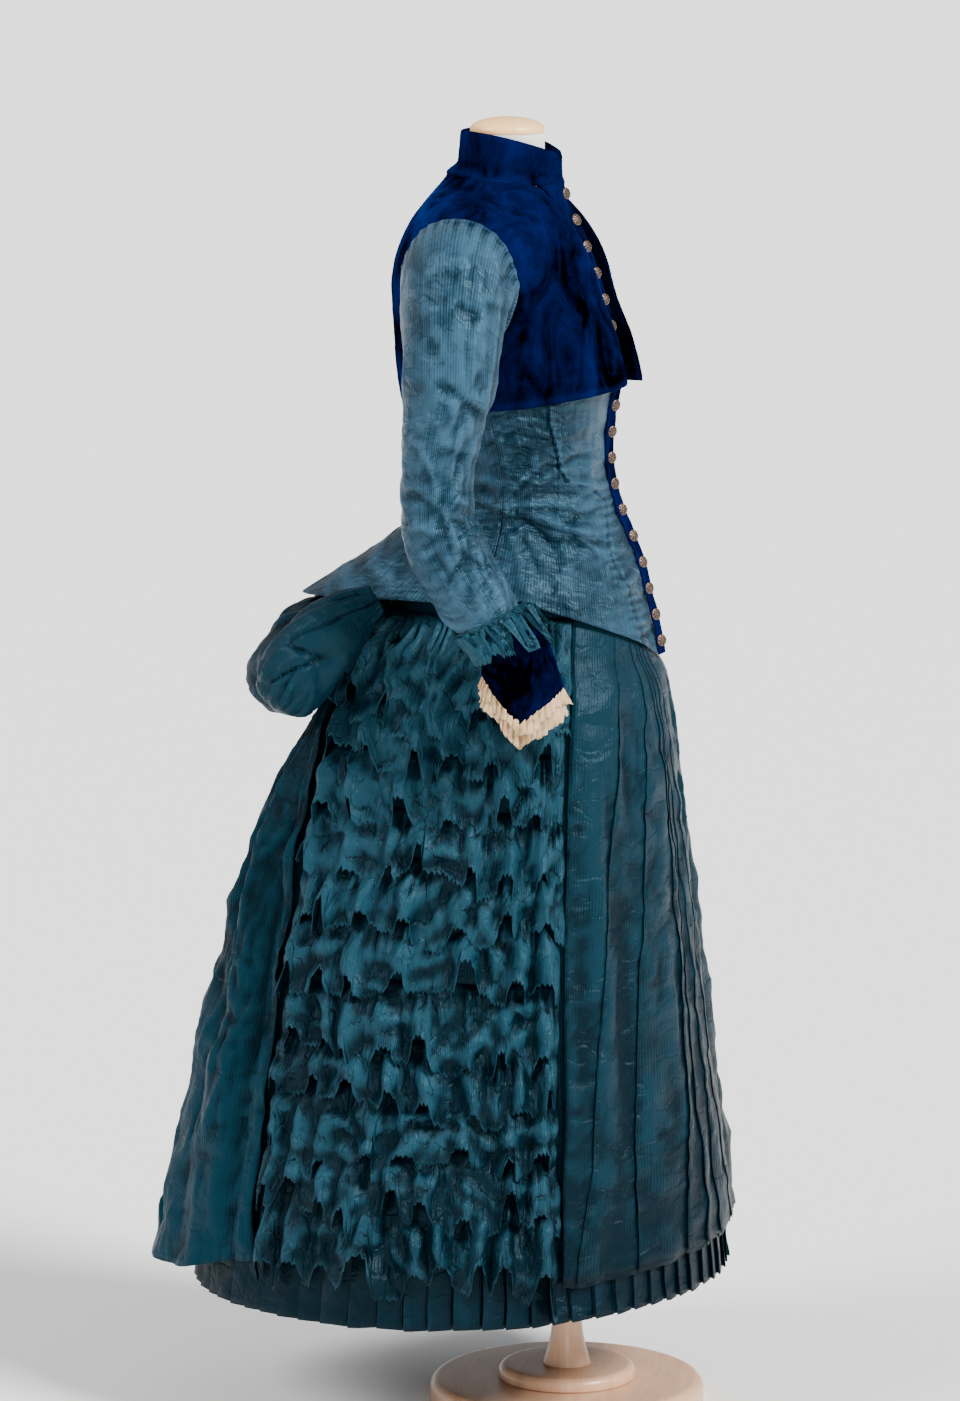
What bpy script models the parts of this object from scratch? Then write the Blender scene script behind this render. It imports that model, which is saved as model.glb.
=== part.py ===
"""A bustle dress of about 1885 on its limbless dress form and turned stand.

Frame: metres, +Z up, the wearer faces -Y and the wearer's left is +X.
The origin is the centre of the stand's flat underside.
Every piece of cloth is a thin wall laid out from horizontal sections of the
figure or of the skirt, and each lies a stated distance outside those sections.
"""
import math

import bmesh
import bpy
import numpy as np

# ---------------------------------------------------------------- driving sizes
SILK = 0.0020                 # thickness of the silk's wall, with its backing
VELVET = 0.0025               # thickness of the velvet's wall
FRILL = 0.0015                # thickness of the pleated cotton at the wrist
SEAM_GAP = 0.00032            # half the space left between two pieces at a seam
TOUCH_GAP = 0.0003            # space between two hard pieces that touch
FORM_EASE = 0.0070            # space between the dress form and the bodice

HEM_HEIGHT = 0.153            # lowest edge of the pleated flounce, behind
HEM_LIFT = 0.024              # how much higher that edge is in front
JACKET_TOP = 1.466            # where the collar is sewn on
NECK_TOP = 1.5190             # flat top of the form's neck
NECK_CENTRE = 0.073
NECK_RADIUS = 0.0435

BASE_RADIUS, BASE_DEPTH = 0.164, 0.030
FLANGE_RADIUS, FLANGE_DEPTH = 0.082, 0.0165
POLE_RADIUS, FOOT_RADIUS, FOOT_HEIGHT = 0.0170, 0.0290, 0.072
FORM_FOOT = 0.800

BASQUE_POINT = 0.912          # lowest edge of the bodice: in the middle of the front,
BASQUE_SIDE = 0.986           # over the hips,
BASQUE_BACK = 0.976           # and in the middle of the back
COLLAR_FRONT, COLLAR_BACK = 1.4925, 1.5215       # height of the collar's upper edge
COLLAR_ROUNDING = 0.010       # how far its front corners are rounded down
JACKET_FRONT_LOW, JACKET_FRONT_DIP = 1.231, 0.026    # lower edge, and how far it dips
JACKET_BACK_LOW, JACKET_BACK_LIFT = 1.187, 0.018     # the same for the back, which rises

BUTTON_RADIUS, BUTTON_DEPTH = 0.0070, 0.0036
BUTTON_COUNT = 18
BUTTON_HIGHEST, BUTTON_LOWEST = 1.449, 0.926
BUTTON_SHANK = 0.0012         # the space below a button
BUTTON_ACROSS = -0.0060       # the buttons sit on the wearer's right of the middle
VEST_STAND = 0.0034           # the vest's outer face, from the bodice
VEST_LAP = 0.0075             # how far the right side laps over the middle
VEST_RIDGE = 0.0050           # how far its lapping edge stands forward
VEST_RIDGE_WIDTH = 0.0225     # and how far from that edge it lies flat again
JACKET_STAND = 0.0070         # the jacket's outer face, from the bodice
JACKET_NECK_STAND = 0.0030    # and where the collar is sewn on
JACKET_FREE = {"right": 0.0170, "left": 0.0290}  # more, at each front's lower corner

FLOUNCE_PLEATS = 48
FLOUNCE_VALLEY, FLOUNCE_FOLD = 0.0046, 0.0098    # how far the pleats stand out
FLOUNCE_TOP = 0.245
FRONT_PLEATS = 12
FRONT_PANEL_LOW, FRONT_PANEL_TOP = 0.212, 1.066
FRONT_PANEL_LIFT = 0.026      # how much higher its hem is in the middle
RUFFLE_WAVES = 5
RUFFLE_SHIFT = 0.37           # how much further along each ruffle's waves start
PANEL_FACE, PANEL_BACK = 0.0032, 0.0012          # the ruffles' backing, from the skirt
PANEL_TOP = 0.870             # the backing's upper edge
BACK_FOLDS = 5
BACK_DRAPE_LOW, BACK_DRAPE_TOP = 0.168, 0.884
BACK_DRAPE_LIFT = 0.036       # how much higher its hem is at the sides
BACK_DRAPE_LEAST = 0.0135     # the least that it stands from the skirt
PUFF_FOLDS = 4
WRIST_WAVES = 5

# ---------------------------------------------------------------- section tables
# Heights at which the underskirt, and the panel sewn on it, have a row of points.
SKIRT_LEVELS = (0.290, 0.450, 0.600, 0.700, 0.780, 0.870, 0.925, 0.980, 1.030, 1.080)
# The same for the front of the bodice above its edge, and the vest that lies on it.
BODICE_LEVELS = (1.035, 1.080, 1.125, 1.175, 1.232)
VEST_LEVELS = (0.918, 0.975, *BODICE_LEVELS, 1.270, 1.310, 1.350, 1.390, 1.418, 1.440, 1.462)
# A section is two half ellipses that share one width. Its columns:
# height, front, back, how far back it is widest, half its width.
SKIRT_SECTIONS = (
    (0.140, -0.186, 0.440, 0.090, 0.283),
    (0.300, -0.174, 0.418, 0.090, 0.268),
    (0.450, -0.157, 0.392, 0.088, 0.252),
    (0.600, -0.140, 0.362, 0.085, 0.235),
    (0.700, -0.128, 0.338, 0.080, 0.221),
    (0.800, -0.116, 0.298, 0.077, 0.202),
    (0.870, -0.106, 0.262, 0.074, 0.179),
    (0.920, -0.0955, 0.234, 0.070, 0.158),
    (0.960, -0.085, 0.212, 0.067, 0.140),
    (1.000, -0.074, 0.188, 0.063, 0.121),
    (1.040, -0.059, 0.165, 0.059, 0.106),
    (1.090, -0.043, 0.144, 0.055, 0.098),
)
BODICE_SECTIONS = (
    (0.895, -0.107, 0.420, 0.066, 0.170),
    (0.930, -0.103, 0.380, 0.066, 0.163),
    (0.960, -0.098, 0.338, 0.065, 0.155),
    (0.985, -0.092, 0.302, 0.064, 0.147),
    (1.019, -0.081, 0.250, 0.060, 0.133),
    (1.054, -0.068, 0.200, 0.056, 0.119),
    (1.080, -0.057, 0.172, 0.055, 0.112),
    (1.110, -0.048, 0.162, 0.055, 0.109),
    (1.145, -0.044, 0.168, 0.058, 0.113),
    (1.187, -0.046, 0.183, 0.064, 0.123),
    (1.226, -0.052, 0.192, 0.073, 0.134),
    (1.260, -0.050, 0.196, 0.082, 0.142),
    (1.290, -0.045, 0.198, 0.090, 0.148),
    (1.320, -0.037, 0.200, 0.096, 0.153),
    (1.350, -0.028, 0.200, 0.100, 0.157),
    (1.380, -0.017, 0.195, 0.102, 0.158),
    (1.406, -0.007, 0.185, 0.102, 0.151),
    (1.425, 0.000, 0.174, 0.099, 0.138),
    (1.440, 0.006, 0.163, 0.094, 0.118),
    (1.452, 0.009, 0.154, 0.088, 0.093),
    (1.462, 0.010, 0.146, 0.081, 0.071),
    (1.470, 0.010, 0.140, 0.076, 0.058),
)
FORM_SECTIONS = (
    (0.800, -0.060, 0.150, 0.055, 0.110),
    (0.806, -0.070, 0.160, 0.055, 0.122),
    (0.850, -0.084, 0.172, 0.058, 0.140),
    (0.900, -0.085, 0.172, 0.060, 0.144),
    (0.950, -0.077, 0.166, 0.060, 0.129),
    (1.000, -0.063, 0.152, 0.056, 0.107),
    (1.050, -0.046, 0.137, 0.050, 0.092),
    (1.100, -0.038, 0.132, 0.048, 0.090),
)
# The collar's sections start a third of the way up from its seam, at share 0.
COLLAR_SECTIONS = (
    (0.00, 0.0080, 0.1310, 0.071, 0.0550),
    (1.00, 0.0090, 0.1280, 0.069, 0.0540),
)
# Rings about the arm, from the top: the height of the ring's middle, how far
# out and back it lies, half the ring's width across and fore and aft, its lean.
SLEEVE_SECTIONS = (
    (1.250, 0.2110, 0.1150, 0.0480, 0.0560, 0.00),
    (1.185, 0.2180, 0.1215, 0.0450, 0.0495, 0.02),
    (1.120, 0.2230, 0.1260, 0.0430, 0.0460, 0.08),
    (1.070, 0.2270, 0.1195, 0.0430, 0.0500, 0.28),
    (1.030, 0.2320, 0.1020, 0.0430, 0.0500, 0.42),
    (0.988, 0.2390, 0.0710, 0.0420, 0.0480, 0.34),
)
# The ruffle that circles the sleeve's end, and the cuff below it.
SLEEVE_RUFFLE_SECTIONS = (
    (0.998, 0.2375, 0.0784, 0.0472, 0.0560, 0.355),
    (0.970, 0.2420, 0.0500, 0.0510, 0.0530, 0.240),
    (0.948, 0.2440, 0.0310, 0.0480, 0.0470, 0.120),
)
CUFF_SECTIONS = (
    (0.972, 0.2420, 0.0420, 0.0365, 0.0375, 0.20),
    (0.945, 0.2440, 0.0330, 0.0375, 0.0400, 0.14),
    (0.912, 0.2460, 0.0280, 0.0420, 0.0465, 0.08),
)
CUFF_POINT = 0.044            # how far the cuff's point hangs below its sides
FRILL_DROP = 0.030            # how far the frill shows below the cuff
SIDE_SEAM = math.pi / 2 + 0.10   # the angle of the side seam
# The armhole is an ellipse seen from the side, drawn on the bodice.
ARMHOLE_BACK, ARMHOLE_HEIGHT = 0.107, 1.350
ARMHOLE_HALF_WIDTH, ARMHOLE_HALF_HEIGHT = 0.063, 0.078
ARMHOLE_LAP = 0.0024          # how far the sleeve's head laps over that edge
SLEEVE_HEAD_GAP = 0.0024      # and the space between them
SLEEVE_HEAD_RISE = 0.0040     # how far the head stands straight out from there

# The side panel's two edges: how far back each lies at a height.
PANEL_FRONT_EDGE = -0.015
PANEL_BACK_EDGE = (
    (0.200, 0.341), (0.346, 0.331), (0.466, 0.318), (0.585, 0.306),
    (0.700, 0.287), (0.830, 0.262), (0.900, 0.215), (0.960, 0.180),
)
# How far outside the skirt's sections each layer lies, by height.
FRONT_PANEL_STAND = (
    (0.200, 0.0215), (0.300, 0.0205), (0.600, 0.0160), (0.850, 0.0145),
    (0.888, 0.0125), (0.912, 0.0052), (0.940, 0.0046), (0.980, 0.0048), (1.070, 0.0045),
)
FRONT_PLEAT_DEPTH = (
    (0.200, 0.0070), (0.600, 0.0050), (0.850, 0.0030), (0.910, 0.0012), (1.070, 0.0006),
)
BACK_DRAPE_STAND = (
    (0.160, 0.064), (0.294, 0.053), (0.418, 0.046), (0.541, 0.036),
    (0.640, 0.034), (0.697, 0.034), (0.760, 0.022), (0.800, 0.016), (0.880, 0.008),
)
# The ruffles of the side panel, from the top. Columns: height of the seam,
# height of the hem, how far the hem's troughs and crests stand from the skirt.
RUFFLES = (
    (0.864, 0.790, 0.0150, 0.0330),
    (0.802, 0.725, 0.0150, 0.0300),
    (0.738, 0.670, 0.0150, 0.0310),
    (0.684, 0.605, 0.0150, 0.0300),
    (0.620, 0.527, 0.0150, 0.0320),
    (0.542, 0.460, 0.0150, 0.0300),
    (0.475, 0.404, 0.0150, 0.0310),
    (0.419, 0.334, 0.0150, 0.0320),
    (0.350, 0.271, 0.0225, 0.0340),
    (0.304, 0.193, 0.0175, 0.0330),
)
HIP_DRAPE = (0.968, 0.850, 0.0160, 0.0330)

# The puff's outline at the middle of the back: how far back, and how high.
PUFF_OUTLINE = (
    (0.178, 1.036), (0.236, 1.004), (0.290, 0.970), (0.330, 0.957), (0.351, 0.933),
    (0.374, 0.899), (0.376, 0.868), (0.360, 0.846), (0.335, 0.838), (0.307, 0.846),
    (0.296, 0.862),
)
PUFF_HALF_WIDTH = 0.120
PUFF_TOP_SHARE = 0.52         # the puff's width at its top, under the basque
PUFF_GATHER = 0.0035          # how high its gathers stand
PUFF_TAPER = 0.34             # how far the puff shrinks towards its sides
PUFF_MIDDLE = (0.252, 0.928)  # what it shrinks towards: how far back, and how high
# A side loop of the puff, from its open end. Columns: how far out, how far
# back and how high its middle is, half its width across and along.
LOOP_SECTIONS = (
    (0.128, 0.206, 0.968, 0.016, 0.016),
    (0.136, 0.228, 0.958, 0.028, 0.030),
    (0.146, 0.258, 0.939, 0.038, 0.042),
    (0.153, 0.287, 0.916, 0.041, 0.048),
    (0.158, 0.312, 0.894, 0.038, 0.046),
    (0.161, 0.332, 0.877, 0.029, 0.035),
    (0.162, 0.344, 0.866, 0.014, 0.018),
)

MATERIALS = {
    # name: colour, roughness, metallic
    "silk": ((0.020, 0.105, 0.155, 1.0), 0.42, 0.0),
    "velvet": ((0.004, 0.016, 0.105, 1.0), 0.75, 0.0),
    "frill": ((0.72, 0.61, 0.45, 1.0), 0.80, 0.0),
    "metal": ((0.42, 0.30, 0.24, 1.0), 0.38, 0.85),
    "wood": ((0.62, 0.43, 0.30, 1.0), 0.35, 0.0),
    "form_cloth": ((0.86, 0.85, 0.83, 1.0), 0.85, 0.0),
}


# ---------------------------------------------------------------- plain tools
def curve_through(rows):
    """A function of the first column that runs smoothly through the others."""
    table = np.array(rows, float)
    order = np.argsort(table[:, 0])
    x, y = table[order, 0], table[order, 1:]
    slope = np.gradient(y, x, axis=0)

    def value(at):
        at = np.clip(np.asarray(at, float), x[0], x[-1])
        i = np.clip(np.searchsorted(x, at) - 1, 0, len(x) - 2)
        step = x[i + 1] - x[i]
        s = ((at - x[i]) / step)[..., None]
        step = step[..., None]
        found = (
            (2 * s**3 - 3 * s**2 + 1) * y[i] + (s**3 - 2 * s**2 + s) * step * slope[i]
            + (3 * s**2 - 2 * s**3) * y[i + 1] + (s**3 - s**2) * step * slope[i + 1]
        )
        return found[..., 0] if y.shape[1] == 1 else found

    return value


def sections(rows):
    """A function (turn, height, out) of points on a table of sections.

    turn is an angle: 0 is the front, a quarter turn the wearer's left, a half
    turn the back. out is how far the point lies outside the section.
    """
    table = curve_through(rows)

    def point(turn, height, out=0.0):
        turn, height, out = np.broadcast_arrays(
            np.asarray(turn, float), np.asarray(height, float), np.asarray(out, float)
        )
        front, back, widest, half_width = np.moveaxis(table(height), -1, 0)
        depth = np.where(np.cos(turn) > 0, widest - front, back - widest)
        normal = np.stack([np.sin(turn) * depth, -np.cos(turn) * half_width], -1)
        normal /= np.linalg.norm(normal, axis=-1, keepdims=True)
        across = half_width * np.sin(turn) + out * normal[..., 0]
        along = widest - depth * np.cos(turn) + out * normal[..., 1]
        return np.stack([across, along, height], -1)

    return point


def turn_at(rows, height, how_far_back):
    """The angle, on the wearer's left, where a section is so far back."""
    front, back, widest, _ = np.moveaxis(curve_through(rows)(height), -1, 0)
    depth = np.where(how_far_back < widest, widest - front, back - widest)
    return np.arccos(np.clip((widest - how_far_back) / depth, -1.0, 1.0))


def turn_across(rows, height, across):
    """The angle, in the front, where a section is so far to the wearer's left."""
    half_width = curve_through(rows)(height)[..., 3]
    return np.arcsin(np.clip(across / half_width, -1.0, 1.0))


def steps(start, end, count):
    return np.linspace(start, end, count)


def mirrored(grid):
    return grid * np.array([-1.0, 1.0, 1.0])


def grid_normals(grid, closed):
    """Unit normals of a grid of points, rows by columns."""
    if closed:
        across = np.roll(grid, -1, 1) - np.roll(grid, 1, 1)
    else:
        across = np.gradient(grid, axis=1)
    down = np.gradient(grid, axis=0)
    normal = np.cross(across, down)
    length = np.linalg.norm(normal, axis=-1, keepdims=True)
    return normal / np.maximum(length, 1e-12)


def made_object(name, points, faces, material):
    """A mesh object of these points and faces, turned so that it faces out."""
    mesh = bpy.data.meshes.new(name)
    mesh.from_pydata([tuple(p) for p in points], [], faces)
    shape = bmesh.new()
    shape.from_mesh(mesh)
    if shape.calc_volume(signed=True) < 0:
        bmesh.ops.reverse_faces(shape, faces=shape.faces)
    shape.to_mesh(mesh)
    shape.free()
    mesh.shade_smooth()
    mesh.set_sharp_from_angle(angle=math.radians(50))
    mesh.materials.append(bpy.data.materials[material])
    made = bpy.data.objects.new(name, mesh)
    bpy.context.scene.collection.objects.link(made)
    return made


def quads(first, second, closed):
    """Faces between two rows of vertex numbers."""
    count = len(first) if closed else len(first) - 1
    return [
        (first[i], first[(i + 1) % len(first)], second[(i + 1) % len(first)], second[i])
        for i in range(count)
    ]


def turned_over(faces):
    """The same faces looking the other way, each split along the same diagonal,
    so that the two faces of a twisted wall stay a thickness apart."""
    return [(a, d, c, b) for a, b, c, d in faces]


def wall(name, grid, thickness, material, inside, closed=False):
    """Cloth: a wall whose outer face is the grid and whose inner face lies
    a thickness away, on the side of the points given by inside."""
    normal = grid_normals(grid, closed)
    if np.mean(np.sum(normal * (grid - np.asarray(inside, float)), -1)) < 0:
        normal = -normal
    inner = grid - thickness * normal
    rows, columns = grid.shape[:2]
    numbers = np.arange(rows * columns).reshape(rows, columns)
    below = numbers + rows * columns
    faces = []
    for row in range(rows - 1):
        faces += quads(numbers[row].tolist(), numbers[row + 1].tolist(), closed)
        faces += turned_over(quads(below[row].tolist(), below[row + 1].tolist(), closed))
    faces += quads(below[0].tolist(), numbers[0].tolist(), closed)
    faces += quads(numbers[-1].tolist(), below[-1].tolist(), closed)
    if not closed:
        faces += quads(numbers[:, 0].tolist(), below[:, 0].tolist(), False)
        faces += quads(below[:, -1].tolist(), numbers[:, -1].tolist(), False)
    points = np.concatenate([grid.reshape(-1, 3), inner.reshape(-1, 3)])
    return made_object(name, points, faces, material)


def cup(name, grid, thickness, material, inside):
    """A tube wall whose last ring is closed over, inside and out."""
    normal = grid_normals(grid, True)
    if np.mean(np.sum(normal * (grid - np.asarray(inside, float)), -1)) < 0:
        normal = -normal
    inner = grid - thickness * normal
    inner[-1] = inner[-2] + 0.6 * (grid[-1] - grid[-2])
    rows, columns = grid.shape[:2]
    numbers = np.arange(rows * columns).reshape(rows, columns)
    below = numbers + rows * columns
    faces = []
    for row in range(rows - 1):
        faces += quads(numbers[row].tolist(), numbers[row + 1].tolist(), True)
        faces += turned_over(quads(below[row].tolist(), below[row + 1].tolist(), True))
    faces += quads(below[0].tolist(), numbers[0].tolist(), True)
    faces.append(tuple(numbers[-1].tolist()))
    faces.append(tuple(reversed(below[-1].tolist())))
    points = np.concatenate([grid.reshape(-1, 3), inner.reshape(-1, 3)])
    return made_object(name, points, faces, material)


def solid_of_rings(name, rings, material):
    """A closed solid through rings of points, with a flat face at each end."""
    count = len(rings[0])
    faces = [tuple(reversed(range(count)))]
    for k in range(len(rings) - 1):
        lower = list(range(k * count, (k + 1) * count))
        upper = list(range((k + 1) * count, (k + 2) * count))
        faces += quads(lower, upper, True)
    faces.append(tuple(range((len(rings) - 1) * count, len(rings) * count)))
    return made_object(name, np.concatenate(rings), faces, material)


def turned(name, profile, count, centre, material):
    """A turned piece: profile is (radius, height), from the bottom up."""
    angle = np.arange(count) * 2 * math.pi / count
    rings = [
        np.stack(
            [radius * np.cos(angle), centre + radius * np.sin(angle), 0 * angle + height], -1
        )
        for radius, height in profile
    ]
    return solid_of_rings(name, rings, material)


SKIRT = sections(SKIRT_SECTIONS)
BODICE = sections(BODICE_SECTIONS)


# ---------------------------------------------------------------- the stand
def round_edge(radius, low, high, rounding, count=4):
    """The profile of a disc with a rounded upper edge."""
    turn = steps(0.0, math.pi / 2, count)
    edge = [
        (radius - rounding * (1 - math.cos(a)), high - rounding * (1 - math.sin(a)))
        for a in turn
    ]
    return [(radius, low), *edge]


def make_stand():
    turned("stand_base", round_edge(BASE_RADIUS, 0.0, BASE_DEPTH, 0.012), 36, 0.0, "wood")
    low = BASE_DEPTH + TOUCH_GAP
    high = BASE_DEPTH + FLANGE_DEPTH
    turned("stand_flange", round_edge(FLANGE_RADIUS, low, high, 0.010), 24, 0.0, "wood")
    foot = high + TOUCH_GAP
    flare = [
        (POLE_RADIUS + (FOOT_RADIUS - POLE_RADIUS) * (1 - s) ** 2.2, foot + FOOT_HEIGHT * s)
        for s in (0.0, 0.12, 0.3, 0.6, 1.0)
    ]
    pole = flare + [(POLE_RADIUS, FORM_FOOT - TOUCH_GAP)]
    turned("stand_pole", pole, 16, 0.0, "wood")
    dome = [
        (NECK_RADIUS * math.cos(a), NECK_TOP + TOUCH_GAP + 0.004 + 0.015 * math.sin(a))
        for a in steps(0.0, math.radians(72), 4)
    ]
    dome = [(NECK_RADIUS, NECK_TOP + TOUCH_GAP), *dome]
    turned("neck_cap", dome, 20, NECK_CENTRE, "wood")


def make_form():
    """The limbless form: hips and waist from its own sections, then the
    bodice's sections drawn in by the ease, then a round neck."""
    turn = np.arange(20) * 2 * math.pi / 20
    hips = sections(FORM_SECTIONS)
    rings = [hips(turn, h) for h in (0.800, 0.806, 0.850, 0.920, 0.980, 1.040, 1.100)]
    for height in (1.160, 1.226, 1.290, 1.350, 1.395, 1.430):
        rings.append(BODICE(turn, height, -FORM_EASE - SILK))
    for height, blend in ((1.450, 0.45), (1.458, 0.75), (1.468, 0.97), (NECK_TOP, 1.0)):
        shoulder = BODICE(turn, 1.450, -FORM_EASE - SILK)
        neck = np.stack(
            [
                NECK_RADIUS * np.sin(turn),
                NECK_CENTRE - NECK_RADIUS * np.cos(turn),
                0 * turn,
            ],
            -1,
        )
        ring = shoulder * (1 - blend) + neck * blend
        ring[:, 2] = height
        rings.append(ring)
    solid_of_rings("dress_form", rings, "form_cloth")


# ---------------------------------------------------------------- the skirt
def hem_height(turn):
    """The flounce's lowest edge: a little higher in front."""
    return HEM_HEIGHT + HEM_LIFT * (0.5 + 0.5 * np.cos(turn)) ** 2


def make_underskirt():
    """The full skirt from waist to hem that all the drapery is sewn to."""
    turn = np.arange(32) * 2 * math.pi / 32
    grid = np.stack([SKIRT(turn, h) for h in (HEM_HEIGHT, *SKIRT_LEVELS)])
    grid[0] = SKIRT(turn, hem_height(turn) + 0.012)
    centre = np.stack([0 * turn, 0 * turn + 0.08, 0 * turn + 0.5], -1)
    wall("underskirt", grid, SILK, "silk", centre, closed=True)


def make_flounce():
    """Knife pleats all round the foot of the underskirt."""
    turns, depths = [], []
    for pleat in range(FLOUNCE_PLEATS):
        for share, depth in ((0.0, FLOUNCE_VALLEY), (0.14, FLOUNCE_FOLD)):
            turns.append((pleat + share) * 2 * math.pi / FLOUNCE_PLEATS)
            depths.append(depth)
    turns, depths = np.array(turns), np.array(depths)
    low = SKIRT(turns, hem_height(turns), depths)
    high = SKIRT(turns, FLOUNCE_TOP, 0.8 * depths)
    wall("hem_flounce", np.stack([low, high]), SILK, "silk", (0.0, 0.1, 0.2), closed=True)


def make_front_panel():
    """The front, laid in knife pleats whose folds point away from the middle."""
    stand = curve_through(FRONT_PANEL_STAND)
    pleat_depth = curve_through(FRONT_PLEAT_DEPTH)
    half = FRONT_PLEATS // 2
    shares, raised = [], []
    for pleat in range(half):
        shares += [(pleat + 0.06) / half, (pleat + 0.98) / half]
        raised += [0.0, 1.0]
    shares = np.array([-s for s in reversed(shares)] + shares)
    raised = np.array(list(reversed(raised)) + raised)
    rows = []
    for s in (0.0, 0.24, 0.45, 0.64, 0.785, 0.82, 0.91, 1.0):
        low = FRONT_PANEL_LOW + FRONT_PANEL_LIFT * (1 - np.abs(shares)) ** 0.8
        height = low + s * (FRONT_PANEL_TOP - low)
        edge = turn_at(SKIRT_SECTIONS, height, PANEL_FRONT_EDGE) - 0.004
        out = stand(height) + pleat_depth(height) * (raised - 1.0)
        rows.append(SKIRT(edge * shares, height, out))
    wall("front_panel", np.stack(rows), SILK, "silk", (0.0, 0.1, 0.6))


def panel_turns(height, share):
    """Angles across the side panel on the wearer's left, front to back."""
    back_edge = curve_through(PANEL_BACK_EDGE)
    first = turn_at(SKIRT_SECTIONS, height, PANEL_FRONT_EDGE) + 0.006
    last = turn_at(SKIRT_SECTIONS, height, back_edge(height)) - 0.008
    return first + (last - first) * share


def wave_shares():
    """Places across a ruffle: its crests, and two places between each pair."""
    return steps(0.0, 1.0, 3 * RUFFLE_WAVES + 1)


def ruffle_wave(share, phase):
    return 0.5 + 0.5 * np.cos(2 * math.pi * (RUFFLE_WAVES * share + phase))


def make_side_panel(side, sign):
    """The side of the skirt with its ruffles, each sewn down along its top.

    A column of points runs down the panel's face, out and back along each
    ruffle, and up the panel's inner face, so the whole is one closed wall.
    """
    columns = []
    for share in wave_shares():
        column = []
        for tier, (seam, hem, trough, crest) in enumerate(RUFFLES):
            wave = ruffle_wave(share, RUFFLE_SHIFT * tier)
            tip = trough + (crest - trough) * wave
            drop = hem + 0.010 * (1 - wave)
            column += [
                (seam, PANEL_FACE), (drop, tip),
                (drop, tip - SILK), (seam - 0.006, PANEL_FACE),
            ]
        low, *between, high = [h for h in SKIRT_LEVELS if h <= PANEL_TOP]
        column += [(low, PANEL_FACE), (low, PANEL_BACK)]
        column += [(height, PANEL_BACK) for height in between]
        column += [(high, PANEL_BACK), (high, PANEL_FACE)]
        heights, outs = np.array(column).T
        columns.append(SKIRT(panel_turns(heights, share), heights, outs))
    grid = np.stack(columns)
    if sign < 0:
        grid = mirrored(grid)
    rows, count = grid.shape[:2]
    numbers = np.arange(rows * count).reshape(rows, count)
    faces = [tuple(numbers[0].tolist()), tuple(reversed(numbers[-1].tolist()))]
    for row in range(rows - 1):
        cells = quads(numbers[row + 1].tolist(), numbers[row].tolist(), True)
        for k in range(2, 4 * len(RUFFLES), 4):
            cells[k] = cells[k][1:] + cells[k][:1]      # split like the outer face
        faces += cells
    made_object(f"side_ruffles_{side}", grid.reshape(-1, 3), faces, "silk")


def make_hip_drape(side, sign):
    """The topmost ruffle, gathered over the hip below the basque."""
    seam, hem, trough, crest = HIP_DRAPE
    shares = wave_shares()
    wave = ruffle_wave(shares, 0.5)
    rows = []
    for s in (0.0, 0.4, 1.0):
        height = seam + s * (hem + 0.012 * (1 - wave) - seam)
        out = 0.005 + (trough + (crest - trough) * wave - 0.005) * s**0.8
        rows.append(SKIRT(panel_turns(height, shares), height, out))
    grid = np.stack(rows)
    grid = mirrored(grid) if sign < 0 else grid
    wall(f"hip_drape_{side}", grid, SILK, "silk", (0.0, 0.08, 0.9))


def make_back_drape():
    """The back of the skirt hangs free in deep folds below the puff."""
    stand = curve_through(BACK_DRAPE_STAND)
    back_edge = curve_through(PANEL_BACK_EDGE)
    shares = steps(-1.0, 1.0, 6 * BACK_FOLDS + 1)
    rows = []
    for s in (0.0, 0.20, 0.42, 0.63, 0.80, 0.91, 1.0):
        low = BACK_DRAPE_LOW + BACK_DRAPE_LIFT * np.abs(shares) ** 2
        height = low + s * (BACK_DRAPE_TOP - low)
        edge = turn_at(SKIRT_SECTIONS, height, back_edge(height)) + 0.012 + 0.030 * s**3
        turn = math.pi + (math.pi - edge) * shares
        middle = np.cos(shares * math.pi / 2) ** 0.8
        fold = np.cos(2 * math.pi * BACK_FOLDS / 2 * shares) * (0.0070 - 0.0035 * s)
        out = BACK_DRAPE_LEAST + (stand(height) - BACK_DRAPE_LEAST) * middle
        out = np.maximum(out + fold * np.sqrt(middle), BACK_DRAPE_LEAST - 0.006 * s)
        rows.append(SKIRT(turn, height, out))
    wall("back_drape", np.stack(rows), SILK, "silk", (0.0, 0.1, 0.5))


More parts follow.
